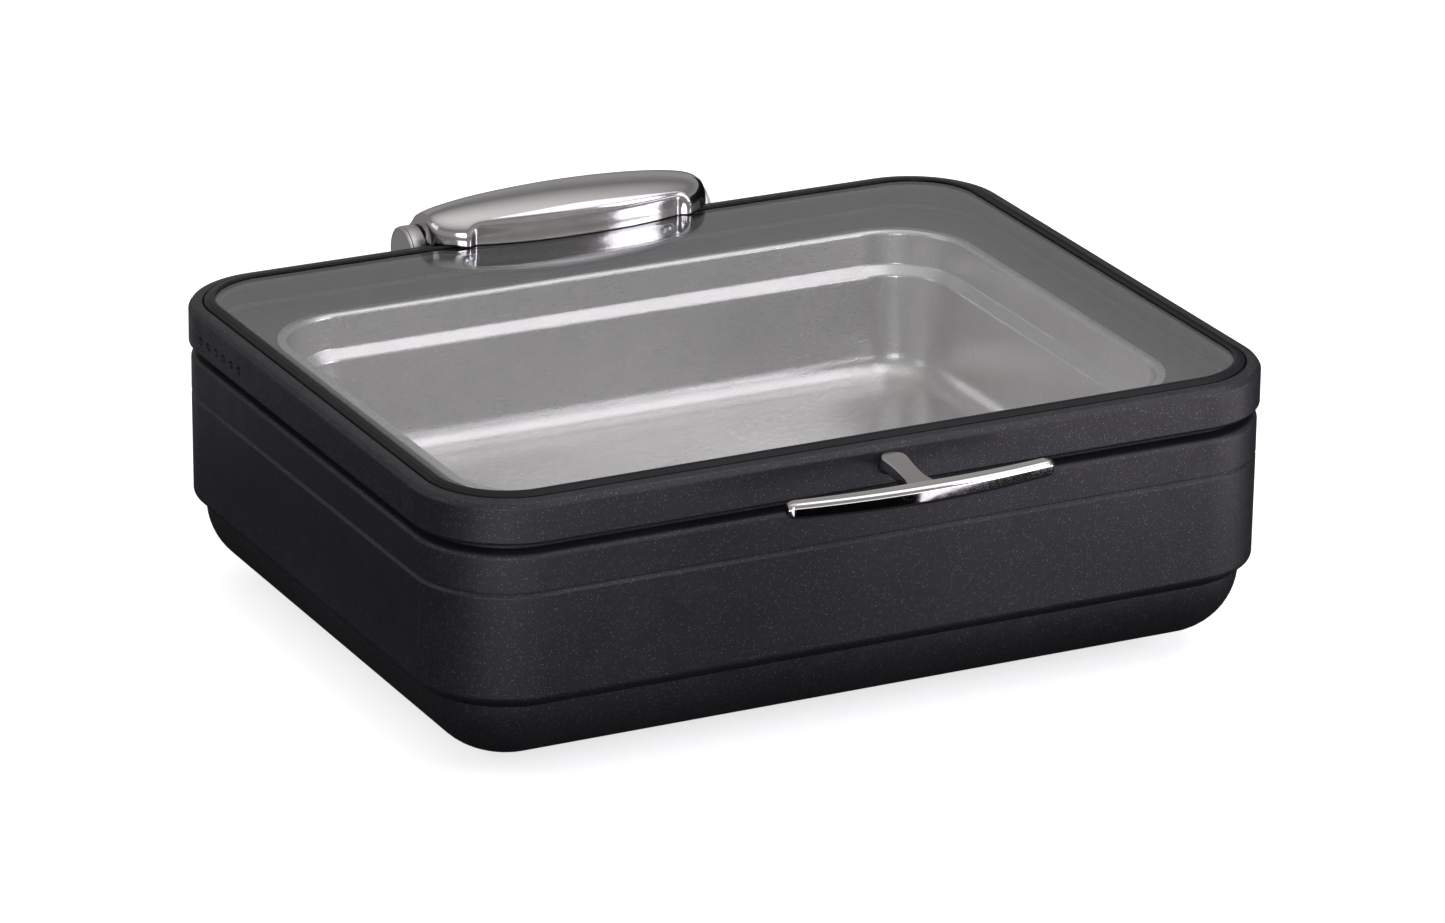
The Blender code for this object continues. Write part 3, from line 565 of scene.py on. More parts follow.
ALUMINIUM = metal("aluminium_mill", (0.72, 0.72, 0.73), 0.28, 0.42, (0.04, 1, 1), 700.0, 0.00001)
BRASS = metal("brass_turned", (0.72, 0.53, 0.24), 0.18, 0.30, (1, 0.05, 1), 900.0, 0.000008)
GLASS = clear_glass()

CARRIED = {
    "powder_black": POWDER,
    "polished_steel": POLISHED,
    "satin_steel": SATIN,
    "zinc_steel": ZINC,
    "spring_steel": DARK_STEEL,
    "aluminium": ALUMINIUM,
    "brass": BRASS,
    "rubber": RUBBER,
    "gasket": GASKET,
    "black_plastic": PLASTIC,
    "amber_plastic": AMBER,
    "insulation": FELT,
    "glass": GLASS,
}


def dress_cad_nodes():
    """Every CAD node gets its slot's procedural material and smooth shading."""
    for entry in frame["record"]["subparts"]:
        node = frame["nodes"][entry["node"]]
        finish = CARRIED[entry["material_slot"]]
        node.data.materials.clear()
        node.data.materials.append(finish)
        node.data.shade_smooth()
        node.data.set_sharp_from_angle(angle=math.radians(35))


# ---------------------------------------------------------------- housing


def make_housing():
    foot = HOUSING_FOOT
    profile = [
        (10.3, foot, 0.4),
        (1.9, foot + 6.6, 5.0),
        (1.5, 134.0, 1.6),
        (3.0, 136.2, 0.4),
        (3.0, 136.9, 0.3),
        (1.5, 137.4, 0.6),
        (1.5, HOUSING_TOP, 3.6),
        (27.0, HOUSING_TOP, 0.6),
        (27.0, HOUSING_TOP - HOUSING_SHEET, 0.6),
        (5.0, HOUSING_TOP - HOUSING_SHEET, 2.0),
        (5.0, foot + 7.4, 3.0),
        (12.5, foot + 1.6, 0.5),
        (12.5, foot, 0.4),
    ]
    housing = outline_ring("housing_shell", profile, POWDER)
    back = DEPTH / 2
    for name, middle_x, middle_z, half_x, half_z in (
        ("inlet_window", (inlet_low[0] + inlet_high[0]) / 2, (inlet_low[2] + inlet_high[2]) / 2, 15, 11),
        ("control_window", panel_low[0] + 41.5, (panel_low[2] + panel_high[2]) / 2, 34, 11),
    ):
        low = (middle_x - half_x, back - 20, middle_z - half_z)
        high = (middle_x + half_x, back + 5, middle_z + half_z)
        combine(housing, block(name, low, high, POWDER, 0.0))
    return settle(housing, "housing", "powder_black", "upper_housing")


def tub_face(radius, centre, floor):
    """One face of the tub's sheet, in from the floor and up the quarter round to the seam."""
    face = [(inset, floor) for inset in TUB_FLOOR_INSETS]
    for step in range(16, -1, -1):
        angle = math.radians(90 * step / 16)
        face.append((centre - radius * math.cos(angle), SEAM_Z - radius * math.sin(angle)))
    return face


def make_tub():
    """The lower tub with its quarter-round side and the access opening in its floor."""
    radius = SEAM_Z - TUB_BOTTOM
    centre = TUB_INSET + radius
    outside = tub_face(radius, centre, TUB_BOTTOM)
    inside = tub_face(radius - TUB_SHEET, centre, TUB_BOTTOM + TUB_SHEET)
    path = outside + inside[::-1]
    tub = loft("lower_tub", [outline(inset, z) for inset, z in path], POWDER)
    low = (-ACCESS_HALF_X, -ACCESS_HALF_Y, TUB_BOTTOM - 5)
    high = (ACCESS_HALF_X, ACCESS_HALF_Y, TUB_BOTTOM + 5)
    combine(tub, block("bottom_opening", low, high, POWDER, 0.0))
    return settle(tub, "housing", "powder_black", "base_tub")


def make_deck():
    """The deck round the pans, with a bead along its outer edge."""
    low = HOUSING_TOP + 0.3
    opening = (DEPTH - OPENING_DEPTH) / 2
    profile = [
        (12.0, low, 0.4),
        (12.0, DECK_TOP + DECK_BEAD, 0.6),
        (13.2, DECK_TOP + DECK_BEAD, 0.5),
        (14.0, DECK_TOP, 0.8),
        (opening, DECK_TOP, 0.8),
        (opening, DECK_TOP - 2.0, 0.4),
        (14.5, DECK_TOP - 2.0, 1.0),
        (14.5, low, 0.4),
    ]
    rings = []
    for inset, z in filleted(profile, True, 5):
        share = clamped((inset - 15.0) / (opening - 15.0))
        extra = share * ((WIDTH - OPENING_WIDTH) / 2 - opening)
        radius = (CORNER - inset) * (1.0 - share) + OPENING_CORNER * share
        rings.append(rounded_rectangle(WIDTH - 2 * (inset + extra), DEPTH - 2 * inset, radius, z))
    deck = loft("deck_top", rings, POWDER, closed=True)
    return settle(deck, "housing", "powder_black", "deck_ring")


def make_bumpers():
    low = DECK_TOP + 0.3
    height = LEDGE_UNDER - 0.6 - DECK_TOP
    profile = [
        (0.0, 3.5, 0.0),
        (1.0, 3.5, 0.3),
        (height - 0.6, 3.0, 0.8),
        (height - 0.3, 2.0, 0.6),
        (height - 0.3, 0.0, 0.0),
    ]
    for side, name in ((-1, "left"), (1, "right")):
        spot = (BUMPER_X * side, -DEPTH / 2 + 18.0, low)
        bumper = turned("bumper_" + name, profile, spot, "Z", RUBBER, 40)
        settle(bumper, "housing", "rubber", "lid_bumper_" + name)


def make_feet():
    height = TUB_BOTTOM - 0.3
    profile = [
        (0.0, 0.0, 0.0),
        (0.0, 14.8, 0.8),
        (1.6, 16.5, 0.8),
        (4.0, 15.6, 0.4),
        (4.0, 15.0, 0.2),
        (4.8, 15.0, 0.2),
        (4.8, 15.5, 0.3),
        (height, 14.5, 0.4),
        (height, 0.0, 0.0),
    ]
    for side_x, column in ((-1, "left"), (1, "right")):
        for side_y, row in ((-1, "front"), (1, "rear")):
            spot = (FOOT_X * side_x, FOOT_Y * side_y, 0.0)
            foot = turned(f"rubber_foot_{column}_{row}", profile, spot, "Z", RUBBER, 56)
            settle(foot, "housing", "rubber", f"foot_{column}_{row}")


# ---------------------------------------------------------------- pans


def make_pan(name, rim, path, finish, body, node):
    """A drawn pan from the path of its upper side, as (inset from the rim, height, fillet) points."""
    width, depth, corner = rim
    upper, lower = sheet_profile(filleted(path, False, 9), -PAN_SHEET)
    rings = []
    for inset, z in lower[::-1] + upper:
        radius = max(corner - inset, 7.0)
        rings.append(rounded_rectangle(width - 2 * inset, depth - 2 * inset, radius, z))
    pan = loft(name, rings, finish, smooth_angle=60.0)
    return settle(pan, body, "satin_steel", node)


def make_pans():
    top = pan_high[2]
    floor = pan_low[2] + 1.2
    rim = (pan_high[0] - pan_low[0], pan_high[1] - pan_low[1], 60.0)
    path = [
        (0.6, top - 2.9, 0.0),
        (0.1, top - 0.2, 1.2),
        (8.8, top - 0.1, 3.6),
        (11.6, top - 23.5, 3.0),
        (17.6, top - 30.0, 4.0),
        (25.0, floor, 24.0),
        (60.0, floor + 0.1, 20.0),
        (110.0, floor + 0.7, 60.0),
        (150.0, floor + 0.8, 0.0),
    ]
    make_pan("food_pan_drawn", rim, path, PAN_STEEL, "food_pan", "food_pan")
    rim = (water_high[0] - water_low[0], water_high[1] - water_low[1], 57.0)
    top = water_high[2]
    floor = water_low[2] + 1.2
    path = [
        (0.2, top - 0.1, 0.0),
        (5.6, top - 0.1, 2.0),
        (10.2, floor, 16.0),
        (90.0, floor, 0.0),
    ]
    make_pan("water_pan_drawn", rim, path, SATIN, "housing", "water_pan")


# ---------------------------------------------------------------- lid


def make_lid_frame():
    profile = [
        (1.3, LID_BOTTOM, 0.5),
        (0.0, LID_BOTTOM + 1.7, 1.2),
        (0.0, RIM_TOP - 4.2, 2.6),
        (2.2, RIM_TOP - 1.0, 2.6),
        (5.0, RIM_TOP - 0.35, 3.0),
        (9.4, RIM_TOP, 0.7),
        (9.8, LEDGE_TOP, 0.2),
        (20.0, LEDGE_TOP, 0.5),
        (20.0, LEDGE_UNDER, 0.5),
        (LID_SHEET, LEDGE_UNDER, 2.0),
        (LID_SHEET, LID_BOTTOM, 0.5),
    ]
    lid = outline_ring("lid_surround", profile, POWDER, 7)
    for index in range(VENT_COUNT):
        spot = (0.0, VENT_FIRST_Y + VENT_PITCH * index, VENT_Z)
        length = WIDTH / 2 + 10
        bore = [(-length, VENT_R, 0), (length, VENT_R, 0)]
        combine(lid, turned(f"vent_{index}", bore, spot, "X", POWDER, 32))
    skirt = DEPTH / 2 - 1
    for x, y, z, name in (
        (-HINGE_SCREW_X, skirt, HINGE_SCREW_Z, "left"),
        (HINGE_SCREW_X, skirt, HINGE_SCREW_Z, "right"),
        (0.0, -skirt, HANDLE_Z, "handle"),
    ):
        bore = [(-6, SCREW_HOLE_R, 0), (6, SCREW_HOLE_R, 0)]
        combine(lid, turned("skirt_hole_" + name, bore, (x, y, z), "Y", POWDER, 24))
    return settle(lid, "lid", "powder_black", "lid_frame")


def make_gasket():
    profile = [
        (10.3, LEDGE_TOP + 0.3, 0.3),
        (18.2, LEDGE_TOP + 0.3, 0.3),
        (18.2, GLASS_UNDER - 0.15, 0.3),
        (13.9, GLASS_UNDER - 0.15, 0.1),
        (13.9, GLASS_TOP + 0.12, 0.1),
        (18.1, GLASS_TOP + 0.12, 0.2),
        (17.9, GLASS_TOP + 0.9, 0.5),
        (16.2, GLASS_TOP + 1.5, 1.4),
        (13.0, GLASS_TOP + 0.75, 0.7),
        (12.4, GLASS_TOP + 0.25, 0.4),
        (11.2, GLASS_TOP - 0.1, 0.6),
        (10.4, GLASS_TOP - 0.9, 0.5),
    ]
    gasket = outline_ring("glass_gasket", profile, GASKET, 5)
    return settle(gasket, "lid", "gasket", "lid_gasket")


def make_glass():
    profile = [
        (14.9, GLASS_UNDER),
        (14.3, GLASS_UNDER + 0.3),
        (14.1, GLASS_UNDER + 1.0),
        (14.1, GLASS_TOP - 1.0),
        (14.3, GLASS_TOP - 0.3),
        (14.9, GLASS_TOP),
    ]
    pane = loft("glass_pane", [outline(inset, z) for inset, z in profile], GLASS, smooth_angle=30.0)
    return settle(pane, "lid", "glass", "lid_glass")


def make_lid_screws():
    inner = DEPTH / 2 - LID_SHEET
    for side, name in ((-1, "left"), (1, "right")):
        centre = (HINGE_SCREW_X * side, inner - 0.3, HINGE_SCREW_Z)
        washer = [
            (0.0, 9.4, 0.3),
            (-0.5, 9.4, 0.3),
            (-2.8, 6.2, 1.4),
            (-3.0, 4.6, 0.6),
            (-1.2, 3.4, 0.5),
            (-1.0, SCREW_HOLE_R, 0.2),
            (0.0, SCREW_HOLE_R, 0.2),
        ]
        piece = turned("screw_cup_" + name, washer, centre, "Y", WASHER_STEEL, 64, closed=True)
        settle(piece, "lid", "polished_steel", "cup_washer_" + name)
        seat = centre[1] - 3.3
        head = [
            (seat - 2.6, 0.0, 0.0),
            (seat - 2.4, 2.2, 0.8),
            (seat - 1.4, 4.2, 1.2),
            (seat - 0.1, 4.9, 0.3),
            (seat, 4.6, 0.1),
            (seat, 2.5, 0.2),
            (seat + 11.8, 2.5, 0.4),
            (seat + 12.0, 0.0, 0.0),
        ]
        screw = turned("screw_" + name, head, (centre[0], 0.0, centre[2]), "Y", ZINC, 48)
        hexagon = [(-4.0, 1.7, 0), (-1.2, 1.5, 0)]
        drive = turned("drive_" + name, hexagon, (centre[0], seat, centre[2]), "Y", ZINC, 6)
        combine(screw, drive)
        settle(screw, "lid", "zinc_steel", "hinge_screw_" + name)


# ---------------------------------------------------------------- hinge


def hood_section(x):
    """The hood's closed cross-section at a station along X, as (y, z) points."""
    share = abs(x) / HOOD_HALF
    taper = max(1.0 - share**6, 0.0) ** (1.0 / 6.0)
    draw = max(1.0 - share**3.6, 0.0) ** (1.0 / 3.6)
    bow = (x / 100.0) ** 2
    front = CREST_Y - (HOOD_REACH - HOOD_REACH_BOW * bow) * draw
    crest = HINGE_Z + BARREL_R + 0.2 + (HOOD_RISE - HOOD_RISE_BOW * bow) * taper
    low = HOOD_UNDER - 1.5 * clamped((216.0 - front) / 6.0)
    rise = crest - low
    reach = CREST_Y - front
    depth = SCOOP_DEPTH * eased(clamped((SCOOP_HALF - abs(x)) / 9.0))
    corner = clamped((abs(x) - SCOOP_HALF + 16.0) / 16.0)
    scoop_top = SCOOP_TOP * (1.0 - 0.5 * (1.0 - math.sqrt(1.0 - corner * corner)))
    outer = []
    crown_steps = 36
    for step in range(crown_steps + 1):
        angle = 90.0 * step / crown_steps
        turn = math.radians(angle)
        y = CREST_Y - reach * math.cos(turn) ** 0.92
        z = low + rise * math.sin(turn) ** 0.80
        y += depth * (1.0 - eased(clamped((angle / scoop_top - 0.12) / 0.88)))
        outer.append((y, z))
    wrap = math.radians(WRAP_START)
    shoulder_y = HINGE_Y + WRAP_OUT * math.cos(wrap)
    shoulder_z = HINGE_Z + WRAP_OUT * math.sin(wrap)
    back_steps = 10
    back_turn = 62
    for step in range(1, back_steps):
        turn = math.radians(back_turn * step / back_steps)
        y = CREST_Y + (shoulder_y - CREST_Y) * math.sin(turn) / math.sin(math.radians(back_turn))
        z = crest - (crest - shoulder_z) * (1 - math.cos(turn)) / (1 - math.cos(math.radians(back_turn)))
        outer.append((y, z))
    for step in range(9):
        angle = wrap - (wrap - math.radians(WRAP_END)) * step / 8
        outer.append((HINGE_Y + WRAP_OUT * math.cos(angle), HINGE_Z + WRAP_OUT * math.sin(angle)))
    inner = []
    for step in range(19):
        angle = math.radians(WRAP_END + 126 * step / 18)
        inner.append((HINGE_Y + WRAP_IN * math.cos(angle), HINGE_Z + WRAP_IN * math.sin(angle)))
    seat = RIM_TOP + 1.1
    edge = max(DEPTH / 2 - 9.4, outer[0][0] + 0.3)
    inner += [(max(HINGE_Y - 15.2, outer[0][0] + 0.4), seat), (edge, seat), (edge - 0.1, low)]
    if abs(x) > HOOD_SPLIT:
        outer, inner = cut_behind(outer, inner, HINGE_Y - BARREL_R - 0.6)
    return outer + inner


def cut_behind(outer, inner, limit):
    """Ends a section at a vertical wall, so that the hood's tips stay in front of the bracket's ears."""
    roof = max(z for y, z in outer if y <= limit) if outer[0][0] < limit else outer[0][1] + 0.5
    behind = [i for i, (y, z) in enumerate(outer) if y > limit]
    clipped = [(min(y, limit), z) for y, z in outer]
    floor = HOOD_UNDER + 0.2
    walls = len(behind) + sum(1 for y, z in inner if y > limit)
    drop = (roof - floor) / max(walls, 1)
    level = roof
    for i in behind:
        level -= drop
        clipped[i] = (limit, level)
    lower = []
    for y, z in inner:
        if y > limit:
            level -= drop
            lower.append((limit, level))
        else:
            lower.append((y, min(z, level)))
    return clipped, lower


def make_hood():
    count = 150
    stations = [(HOOD_HALF - 0.15) * math.sin(math.pi * (step / count - 0.5)) for step in range(count + 1)]
    for side in (-1, 1):
        stations += [side * (HOOD_SPLIT - 0.02), side * (HOOD_SPLIT + 0.02)]
    rings = [[(x, y, z) for y, z in hood_section(x)] for x in sorted(stations)]
    hood = loft("hinge_cover", rings, HOOD_STEEL, smooth_angle=48.0)
    return settle(hood, "lid", "polished_steel", "hinge_hood")


def make_barrel():
    half = BARREL_HALF
    profile = [
        (-half, BARREL_R, 0.7),
        (-half + 7.5, BARREL_R, 0.1),
        (-half + 7.7, BARREL_R - 0.35, 0.1),
        (-half + 8.3, BARREL_R - 0.35, 0.1),
        (-half + 8.5, BARREL_R, 0.1),
        (half - 8.5, BARREL_R, 0.1),
        (half - 8.3, BARREL_R - 0.35, 0.1),
        (half - 7.7, BARREL_R - 0.35, 0.1),
        (half - 7.5, BARREL_R, 0.1),
        (half, BARREL_R, 0.7),
        (half, BARREL_R - 3.5, 0.4),
        (-half, BARREL_R - 3.5, 0.4),
    ]
    barrel = turned("hinge_tube", profile, (0, HINGE_Y, HINGE_Z), "X", HOOD_STEEL, 96, closed=True)
    for side in (-1, 1):
        spot = (HINGE_SCREW_X * side, HINGE_Y - 17, HINGE_SCREW_Z)
        bore = [(-7, SCREW_HOLE_R, 0), (7, SCREW_HOLE_R, 0)]
        combine(barrel, turned("barrel_hole", bore, spot, "Y", ZINC, 24))
    return settle(barrel, "lid", "polished_steel", "hinge_barrel")


def make_bracket():
    """Rear bracket: a plate with an ear at each end round the pin."""
    low, high = corners_mm("hinge_bracket")
    front = low[1] - SHIFT_Y
    back = front + 3.0
    plate = block("rear_bracket", (low[0], front, low[2]), (high[0], back, 158.0), SATIN, 0.7)
    for side, name in ((-1, "left"), (1, "right")):
        ear = []
        for step in range(45):
            angle = math.radians(200 - 220 * step / 44)
            ear.append((HINGE_Y + BARREL_R * math.cos(angle), HINGE_Z + BARREL_R * math.sin(angle)))
        ear += filleted(
            [
                (ear[-1][0], ear[-1][1], 0),
                (HINGE_Y + 12.0, HINGE_Z - 22.0, 20.0),
                (back - 1.0, 118.0, 3.0),
                (front + 0.6, 118.0, 0.3),
                (front + 0.6, 156.0, 0.3),
                (front + 2.4, 170.0, 3.0),
                (ear[0][0], ear[0][1], 0),
            ],
            False,
            8,
        )[1:-1]
        inner, outer = KNUCKLE_IN * side, KNUCKLE_OUT * side
        middle = (sum(p[0] for p in ear) / len(ear), sum(p[1] for p in ear) / len(ear))
        rings = []
        for x, shrink in ((inner, 0.5), (inner + 0.5 * side, 0.0), (outer - 0.5 * side, 0.0), (outer, 0.5)):
            ring = []
            for y, z in ear:
                away = Vector((y - middle[0], z - middle[1])).normalized() * shrink
                ring.append((x, y - away.x, z - away.y))
            rings.append(ring)
        combine(plate, loft("ear_" + name, rings, SATIN), "UNION")
    bore = [(-130, PIN_HOLE_R, 0), (130, PIN_HOLE_R, 0)]
    combine(plate, turned("bore", bore, (0, HINGE_Y, HINGE_Z), "X", SATIN, 48))
    settle(plate, "housing", "satin_steel", "hinge_bracket")
    for side, name in ((-1, "left"), (1, "right")):
        start = side * (KNUCKLE_OUT + 0.3)
        cap = [
            (0.0, 0.0, 0.0),
            (0.0, BARREL_R - 0.4, 0.2),
            (1.2 * side, BARREL_R - 0.4, 0.5),
            (1.9 * side, BARREL_R - 1.5, 0.4),
            (1.6 * side, BARREL_R - 3.0, 0.3),
            (1.5 * side, 0.0, 0.0),
        ]
        piece = turned("end_disc_" + name, cap, (start, HINGE_Y, HINGE_Z), "X", SATIN, 96)
        settle(piece, "housing", "satin_steel", "hinge_end_cap_" + name)


# ---------------------------------------------------------------- handle


def make_handle():
    """A bowed bar with flat ends, a leaf-shaped stem that runs into it and the spigot at its root."""
    rings = []
    corner_steps = 8
    ends = [(-1.0, 1.0), (-0.985, 0.45), (-0.965, 0.12), (-0.945, 0.0)]
    stations = [(share, cut) for share, cut in ends]
    for step in range(1, 48):
        stations.append((-0.945 + 1.89 * step / 48, 0.0))
    stations += [(-share, cut) for share, cut in ends[::-1]]
    for share, shrink in stations:
        x = HANDLE_HALF * share
        y = HANDLE_END_Y - HANDLE_BOW * (1.0 - share**2)
        slope = 2 * HANDLE_BOW * share / HANDLE_HALF
        depth = BAR_DEPTH / 2 - 1.4 * abs(share) - 1.5 * shrink
        height = BAR_HEIGHT / 2 - 0.7 * abs(share) - 1.5 * shrink
        radius = 3.0
        ring = []
        for quarter in range(4):
            side_y = (1, -1, -1, 1)[quarter]
            side_z = (1, 1, -1, -1)[quarter]
            for step in range(corner_steps + 1):
                angle = math.radians(90 * (quarter + step / corner_steps))
                across = side_y * (depth - radius) + radius * math.cos(angle)
                up = side_z * (height - radius) + radius * math.sin(angle)
                crown = 0.55 * (1 - (across / depth) ** 2) * (1 if up > 0 else 0)
                ring.append((x - across * slope, y + across, HANDLE_Z - HANDLE_DROP + up + crown))
        rings.append(ring)
    bar = loft("handle_grip", rings, POLISHED)

    face = -DEPTH / 2 - 0.3
    root = face - 0.4
    bar_back = HANDLE_END_Y - HANDLE_BOW + BAR_DEPTH / 2 - 3.0
    side_curve = []
    for step in range(17):
        angle = math.radians(90 * step / 16)
        side_curve.append((LEAF_HALF * math.sin(angle), root - LEAF_HALF * (1 - math.cos(angle))))
    for step in range(1, 25):
        share = step / 24
        waist = 1.5 * math.sin(math.pi * share)
        flare = 1.6 * max(share - 0.7, 0.0) / 0.3
        y = (root - LEAF_HALF) * (1 - share) + bar_back * share
        side_curve.append((LEAF_HALF - waist + flare, y))
    plan = side_curve + [(-x, y) for x, y in side_curve[::-1]][:-1]
    layers = []
    for height, shrink in ((3.9, 0.9), (3.5, 0.25), (2.9, 0.0), (-2.9, 0.0), (-3.5, 0.25), (-3.9, 0.9)):
        ring = []
        for x, y in plan:
            along = (y - bar_back) / (root - bar_back)
            lift = LEAF_RISE * eased(along) - 0.4
            narrowed = x - math.copysign(min(shrink, abs(x)), x)
            ring.append((narrowed, min(y, root - shrink), HANDLE_Z + height + lift))
        layers.append(ring)
    stem = loft("handle_leaf", layers, POLISHED)
    profile = [
        (0.0, 6.6, 0.4),
        (-1.6, 6.6, 0.4),
        (-2.4, 5.2, 0.4),
        (-6.0, 4.6, 0.0),
        (-6.0, SCREW_HOLE_R, 0),
        (0.0, SCREW_HOLE_R, 0),
    ]
    spigot = turned("handle_spigot", profile, (0, face, HANDLE_Z), "Y", PLASTIC, 48, closed=True)
    settle(bar, "lid", "polished_steel", "handle_bar")
    settle(stem, "lid", "polished_steel", "handle_stem")
    settle(spigot, "lid", "black_plastic")


# ---------------------------------------------------------------- controls


def make_dial():
    """A fluted dial with a printed mark, and ticks along its turn, which ends at the lamp."""
    seat = knob_low[1] - SHIFT_Y
    middle_x = (knob_low[0] + knob_high[0]) / 2
    middle_z = (knob_low[2] + knob_high[2]) / 2
    rings = []
    for depth, radius, flute in (
        (0.0, 14.6, 0.0),
        (0.5, 15.3, 0.0),
        (1.8, 15.4, 0.0),
        (2.7, 14.8, 0.0),
        (3.9, 12.9, 0.15),
        (5.2, 12.3, 0.50),
        (12.8, 11.7, 0.50),
        (14.0, 11.2, 0.30),
        (14.7, 10.4, 0.05),
        (14.9, 9.4, 0.0),
    ):
        ring = []
        for side in range(180):
            angle = math.tau * side / 180
            reach = radius + flute * math.cos(DIAL_FLUTES * angle)
            x = middle_x + reach * math.cos(angle)
            ring.append((x, seat + depth, middle_z + reach * math.sin(angle)))
        rings.append(ring)
    dial = loft("dial", rings, PLASTIC, smooth_angle=40.0)
    settle(dial, "thermostat_dial", "black_plastic", "thermostat_knob")
    low = (middle_x - 0.7, seat + 14.7, middle_z + 3.6)
    high = (middle_x + 0.7, seat + 15.05, middle_z + 9.4)
    settle(block("dial_mark", low, high, WHITE_PRINT, 0.1), "thermostat_dial", "black_plastic")
    face = panel_high[1] - SHIFT_Y
    for step in range(TICK_COUNT):
        angle = math.radians(90 + TICK_TURN * step)
        across, up = math.cos(angle), math.sin(angle)
        corners = []
        for reach, side in (
            (TICK_IN, -TICK_HALF),
            (TICK_IN, TICK_HALF),
            (TICK_OUT, TICK_HALF),
            (TICK_OUT, -TICK_HALF),
        ):
            corners.append((middle_x + reach * across - side * up, middle_z + reach * up + side * across))
        rings = [[(x, y, z) for x, z in corners] for y in (face - 0.05, face + 0.12)]
        settle(loft("scale_tick_%02d" % step, rings, PLASTIC), "housing", "black_plastic")


def make_rocker():
    """A dished rocker in the pose of the CAD one."""
    rocker_low, rocker_high = corners_mm("switch_rocker")
    face = panel_high[1] - SHIFT_Y
    middle_z = (panel_low[2] + panel_high[2]) / 2
    middle_x = (rocker_low[0] + rocker_high[0]) / 2
    half = (rocker_high[0] - rocker_low[0]) / 2
    profile = [
        (-3.2, -7.6, 0.9),
        (3.6, -7.9, 0.7),
        (2.3, 0.0, 14.0),
        (3.6, 7.9, 0.7),
        (-3.2, 7.6, 0.9),
        (-4.6, 0.0, 3.0),
    ]
    stations = (
        (-half, 0.5),
        (-half + 0.2, 0.2),
        (-half + 0.6, 0.0),
        (half - 0.6, 0.0),
        (half - 0.2, 0.2),
        (half, 0.5),
    )
    tilt = Matrix.Rotation(math.radians(-7.0), 3, "X")
    rings = []
    for x, shrink in stations:
        ring = []
        for away, up in filleted(profile, True, 8):
            scale = 1.0 - shrink / 8.0
            point = tilt @ Vector((0.0, away * scale, up * scale))
            ring.append((middle_x + x, face + point.y, middle_z + point.z))
        rings.append(ring)
    settle(loft("rocker", rings, PLASTIC), "power_rocker", "black_plastic", "switch_rocker")


def make_lamp():
    lens_low, lens_high = corners_mm("indicator_lens")
    spot = ((lens_low[0] + lens_high[0]) / 2, lens_low[1] - SHIFT_Y, (lens_low[2] + lens_high[2]) / 2)
    dome = [
        (0.0, 3.6, 0.0),
        (0.7, 3.6, 0.2),
        (1.1, 3.2, 0.2),
        (2.2, 2.5, 1.2),
        (2.7, 1.0, 1.2),
        (2.7, 0.0, 0.0),
    ]
    settle(turned("lamp_lens", dome, spot, "Y", AMBER, 48), "housing", "amber_plastic", "indicator_lens")


# ---------------------------------------------------------------- stage, light and camera


def studio_surface(name, colour):
    made, tree, shader = new_material(name, Roughness=0.9, Specular_IOR_Level=0.1)
    tint = mixed_colour(
        tree,
        spread(tree, noise(tree, object_coordinates(tree), 2.0), 0.0, 1.0),
        tuple(0.99 * c for c in colour),
        colour,
    )
    tree.links.new(tint, shader.inputs["Base Color"])
    return made


def make_stage():
    """A white floor that throws no light on the object, so the housing keeps its dark underside."""
    bpy.ops.mesh.primitive_plane_add(size=30.0, location=(0, 0, 0))
    floor = bpy.context.object
    floor.name = "studio_floor"
    finish = studio_surface("floor_white", (0.90, 0.90, 0.90))
    shader = finish.node_tree.nodes["Principled BSDF"]
    shader.inputs["Emission Color"].default_value = (1.0, 1.0, 1.0, 1.0)
    shader.inputs["Emission Strength"].default_value = 0.70
    floor.data.materials.append(finish)
    floor.visible_glossy = False
    floor.visible_diffuse = False


def area_light(name, spot, target, width, height, level, colour):
    """A softbox; level is its brightness as the object sees it."""
    data = bpy.data.lights.new(name, "AREA")
    data.shape = "RECTANGLE"
    data.size = width
    data.size_y = height
    data.energy = level * math.pi * width * height
    data.color = colour
    lamp = bpy.data.objects.new(name, data)
    bpy.context.scene.collection.objects.link(lamp)
    lamp.location = spot
    lamp.rotation_euler = (Vector(target) - Vector(spot)).to_track_quat("-Z", "Y").to_euler()
    lamp.visible_camera = False
    return lamp


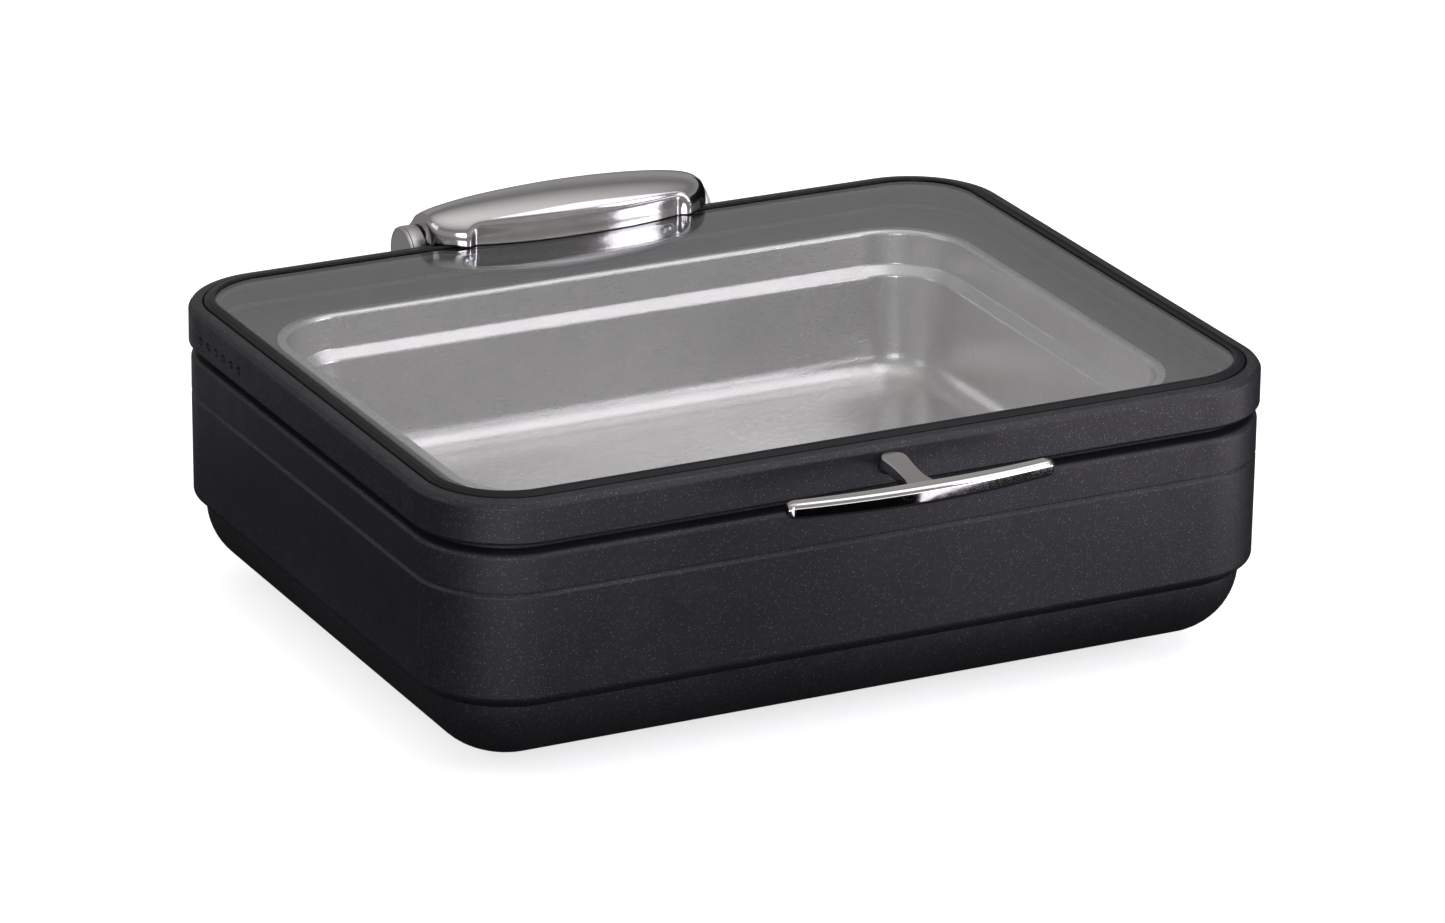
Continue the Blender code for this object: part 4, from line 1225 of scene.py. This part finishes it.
def make_lights():
    world = bpy.data.worlds.new("studio_air")
    bpy.context.scene.world = world
    world.use_nodes = True
    tree = world.node_tree
    background = tree.nodes["Background"]
    coordinates = tree.nodes.new("ShaderNodeTexCoord")
    parts = tree.nodes.new("ShaderNodeSeparateXYZ")
    tree.links.new(coordinates.outputs["Generated"], parts.inputs["Vector"])
    height = remap(tree, parts.outputs["Z"], -1.0, 1.0, 0.0, 1.0)
    ramp = tree.nodes.new("ShaderNodeValToRGB")
    tree.links.new(height, ramp.inputs["Fac"])
    stops = ((-1.0, 0.02), (-0.12, 0.03), (0.06, 0.34), (0.34, 0.42), (0.60, 0.24), (1.0, 0.16))
    elements = ramp.color_ramp.elements
    for index, (rise, level) in enumerate(stops):
        position = (rise + 1.0) / 2.0
        element = elements[0] if index == 0 else elements.new(position)
        element.position = position
        element.color = (level, 0.985 * level, level, 1.0)
    elements.remove(elements[-1])
    tree.links.new(ramp.outputs["Color"], background.inputs["Color"])
    background.inputs["Strength"].default_value = 1.0
    violet = (1.0, 0.96, 1.07)
    area_light("front_card", (0.35, -1.75, 0.03), (0.35, -1.60, 1.0), 3.4, 1.7, 1.6, violet)
    area_light("right_card", (1.50, -1.30, 0.03), (1.30, -1.20, 1.0), 1.4, 1.6, 3.5, violet)
    area_light("key_front_right", (2.3, -2.4, 1.5), (0.0, 0.0, 0.12), 1.1, 1.1, 6.6, violet)
    area_light("key_front_left", (-1.6, -3.0, 1.2), (0.0, 0.0, 0.12), 0.8, 0.9, 9.0, violet)
    area_light("corner_card", (-1.05, -1.15, 0.03), (-0.95, -1.05, 1.0), 0.9, 0.9, 3.2, violet)
    area_light("rear_left_card", (-0.38, 0.78, 0.03), (-0.30, 0.65, 1.0), 0.5, 0.5, 0.26, violet)
    area_light("fill_left", (-2.6, 0.6, 1.6), (0.0, 0.0, 0.15), 1.4, 1.2, 1.0, violet)
    area_light("overhead_front", (0.9, -0.6, 1.8), (0.1, 0.0, 0.15), 1.4, 1.4, 1.3, violet)


def make_flag(name, middle, width, height, turn):
    """A black card out of the camera's sight that shapes what the coat and the metal reflect."""
    upright = (math.radians(90), 0, math.radians(turn))
    bpy.ops.mesh.primitive_plane_add(size=1.0, location=middle, rotation=upright)
    flag = bpy.context.object
    flag.name = name
    flag.scale = (width, height, 1.0)
    flag.data.materials.append(studio_surface(name + "_black", (0.01, 0.01, 0.01)))
    flag.visible_camera = False
    flag.visible_diffuse = False
    flag.visible_shadow = False
    flag.visible_transmission = False


def make_camera():
    azimuth = math.radians(VIEW_AZIMUTH)
    elevation = math.radians(VIEW_ELEVATION)
    roll = math.radians(VIEW_ROLL)
    back = Vector(
        (
            math.sin(azimuth) * math.cos(elevation),
            -math.cos(azimuth) * math.cos(elevation),
            math.sin(elevation),
        )
    )
    right = (-back).cross(Vector((0, 0, 1))).normalized()
    up = right.cross(-back)
    right, up = right * math.cos(roll) + up * math.sin(roll), up * math.cos(roll) - right * math.sin(roll)
    spot = back * VIEW_DISTANCE + right * VIEW_RIGHT + up * VIEW_UP
    spot = Vector((spot.x, spot.y + SHIFT_Y, spot.z + TUB_BOTTOM)) * MM
    data = bpy.data.cameras.new("photo_view")
    data.sensor_width = SENSOR_MM
    data.lens = FOCAL_PIXELS / PICTURE_WIDTH * SENSOR_MM
    data.clip_end = 100.0
    camera = bpy.data.objects.new("photo_view", data)
    bpy.context.scene.collection.objects.link(camera)
    turn = Matrix((right, up, back)).transposed()
    camera.matrix_world = Matrix.Translation(spot) @ turn.to_4x4()
    bpy.context.scene.camera = camera
    bpy.context.scene.view_settings.view_transform = "Standard"


# ---------------------------------------------------------------- assembly

make_camera()
dress_cad_nodes()
make_housing()
make_tub()
make_deck()
make_bumpers()
make_feet()
make_pans()
make_lid_frame()
make_gasket()
make_glass()
make_lid_screws()
make_hood()
make_barrel()
make_bracket()
make_handle()
make_dial()
make_rocker()
make_lamp()
make_stage()
make_lights()
make_flag("flag_front", (-0.03, -0.47, 0.065), 0.22, 0.13, 0.0)
make_flag("flag_right", (1.05, 0.55, 0.30), 1.6, 0.6, 90.0)
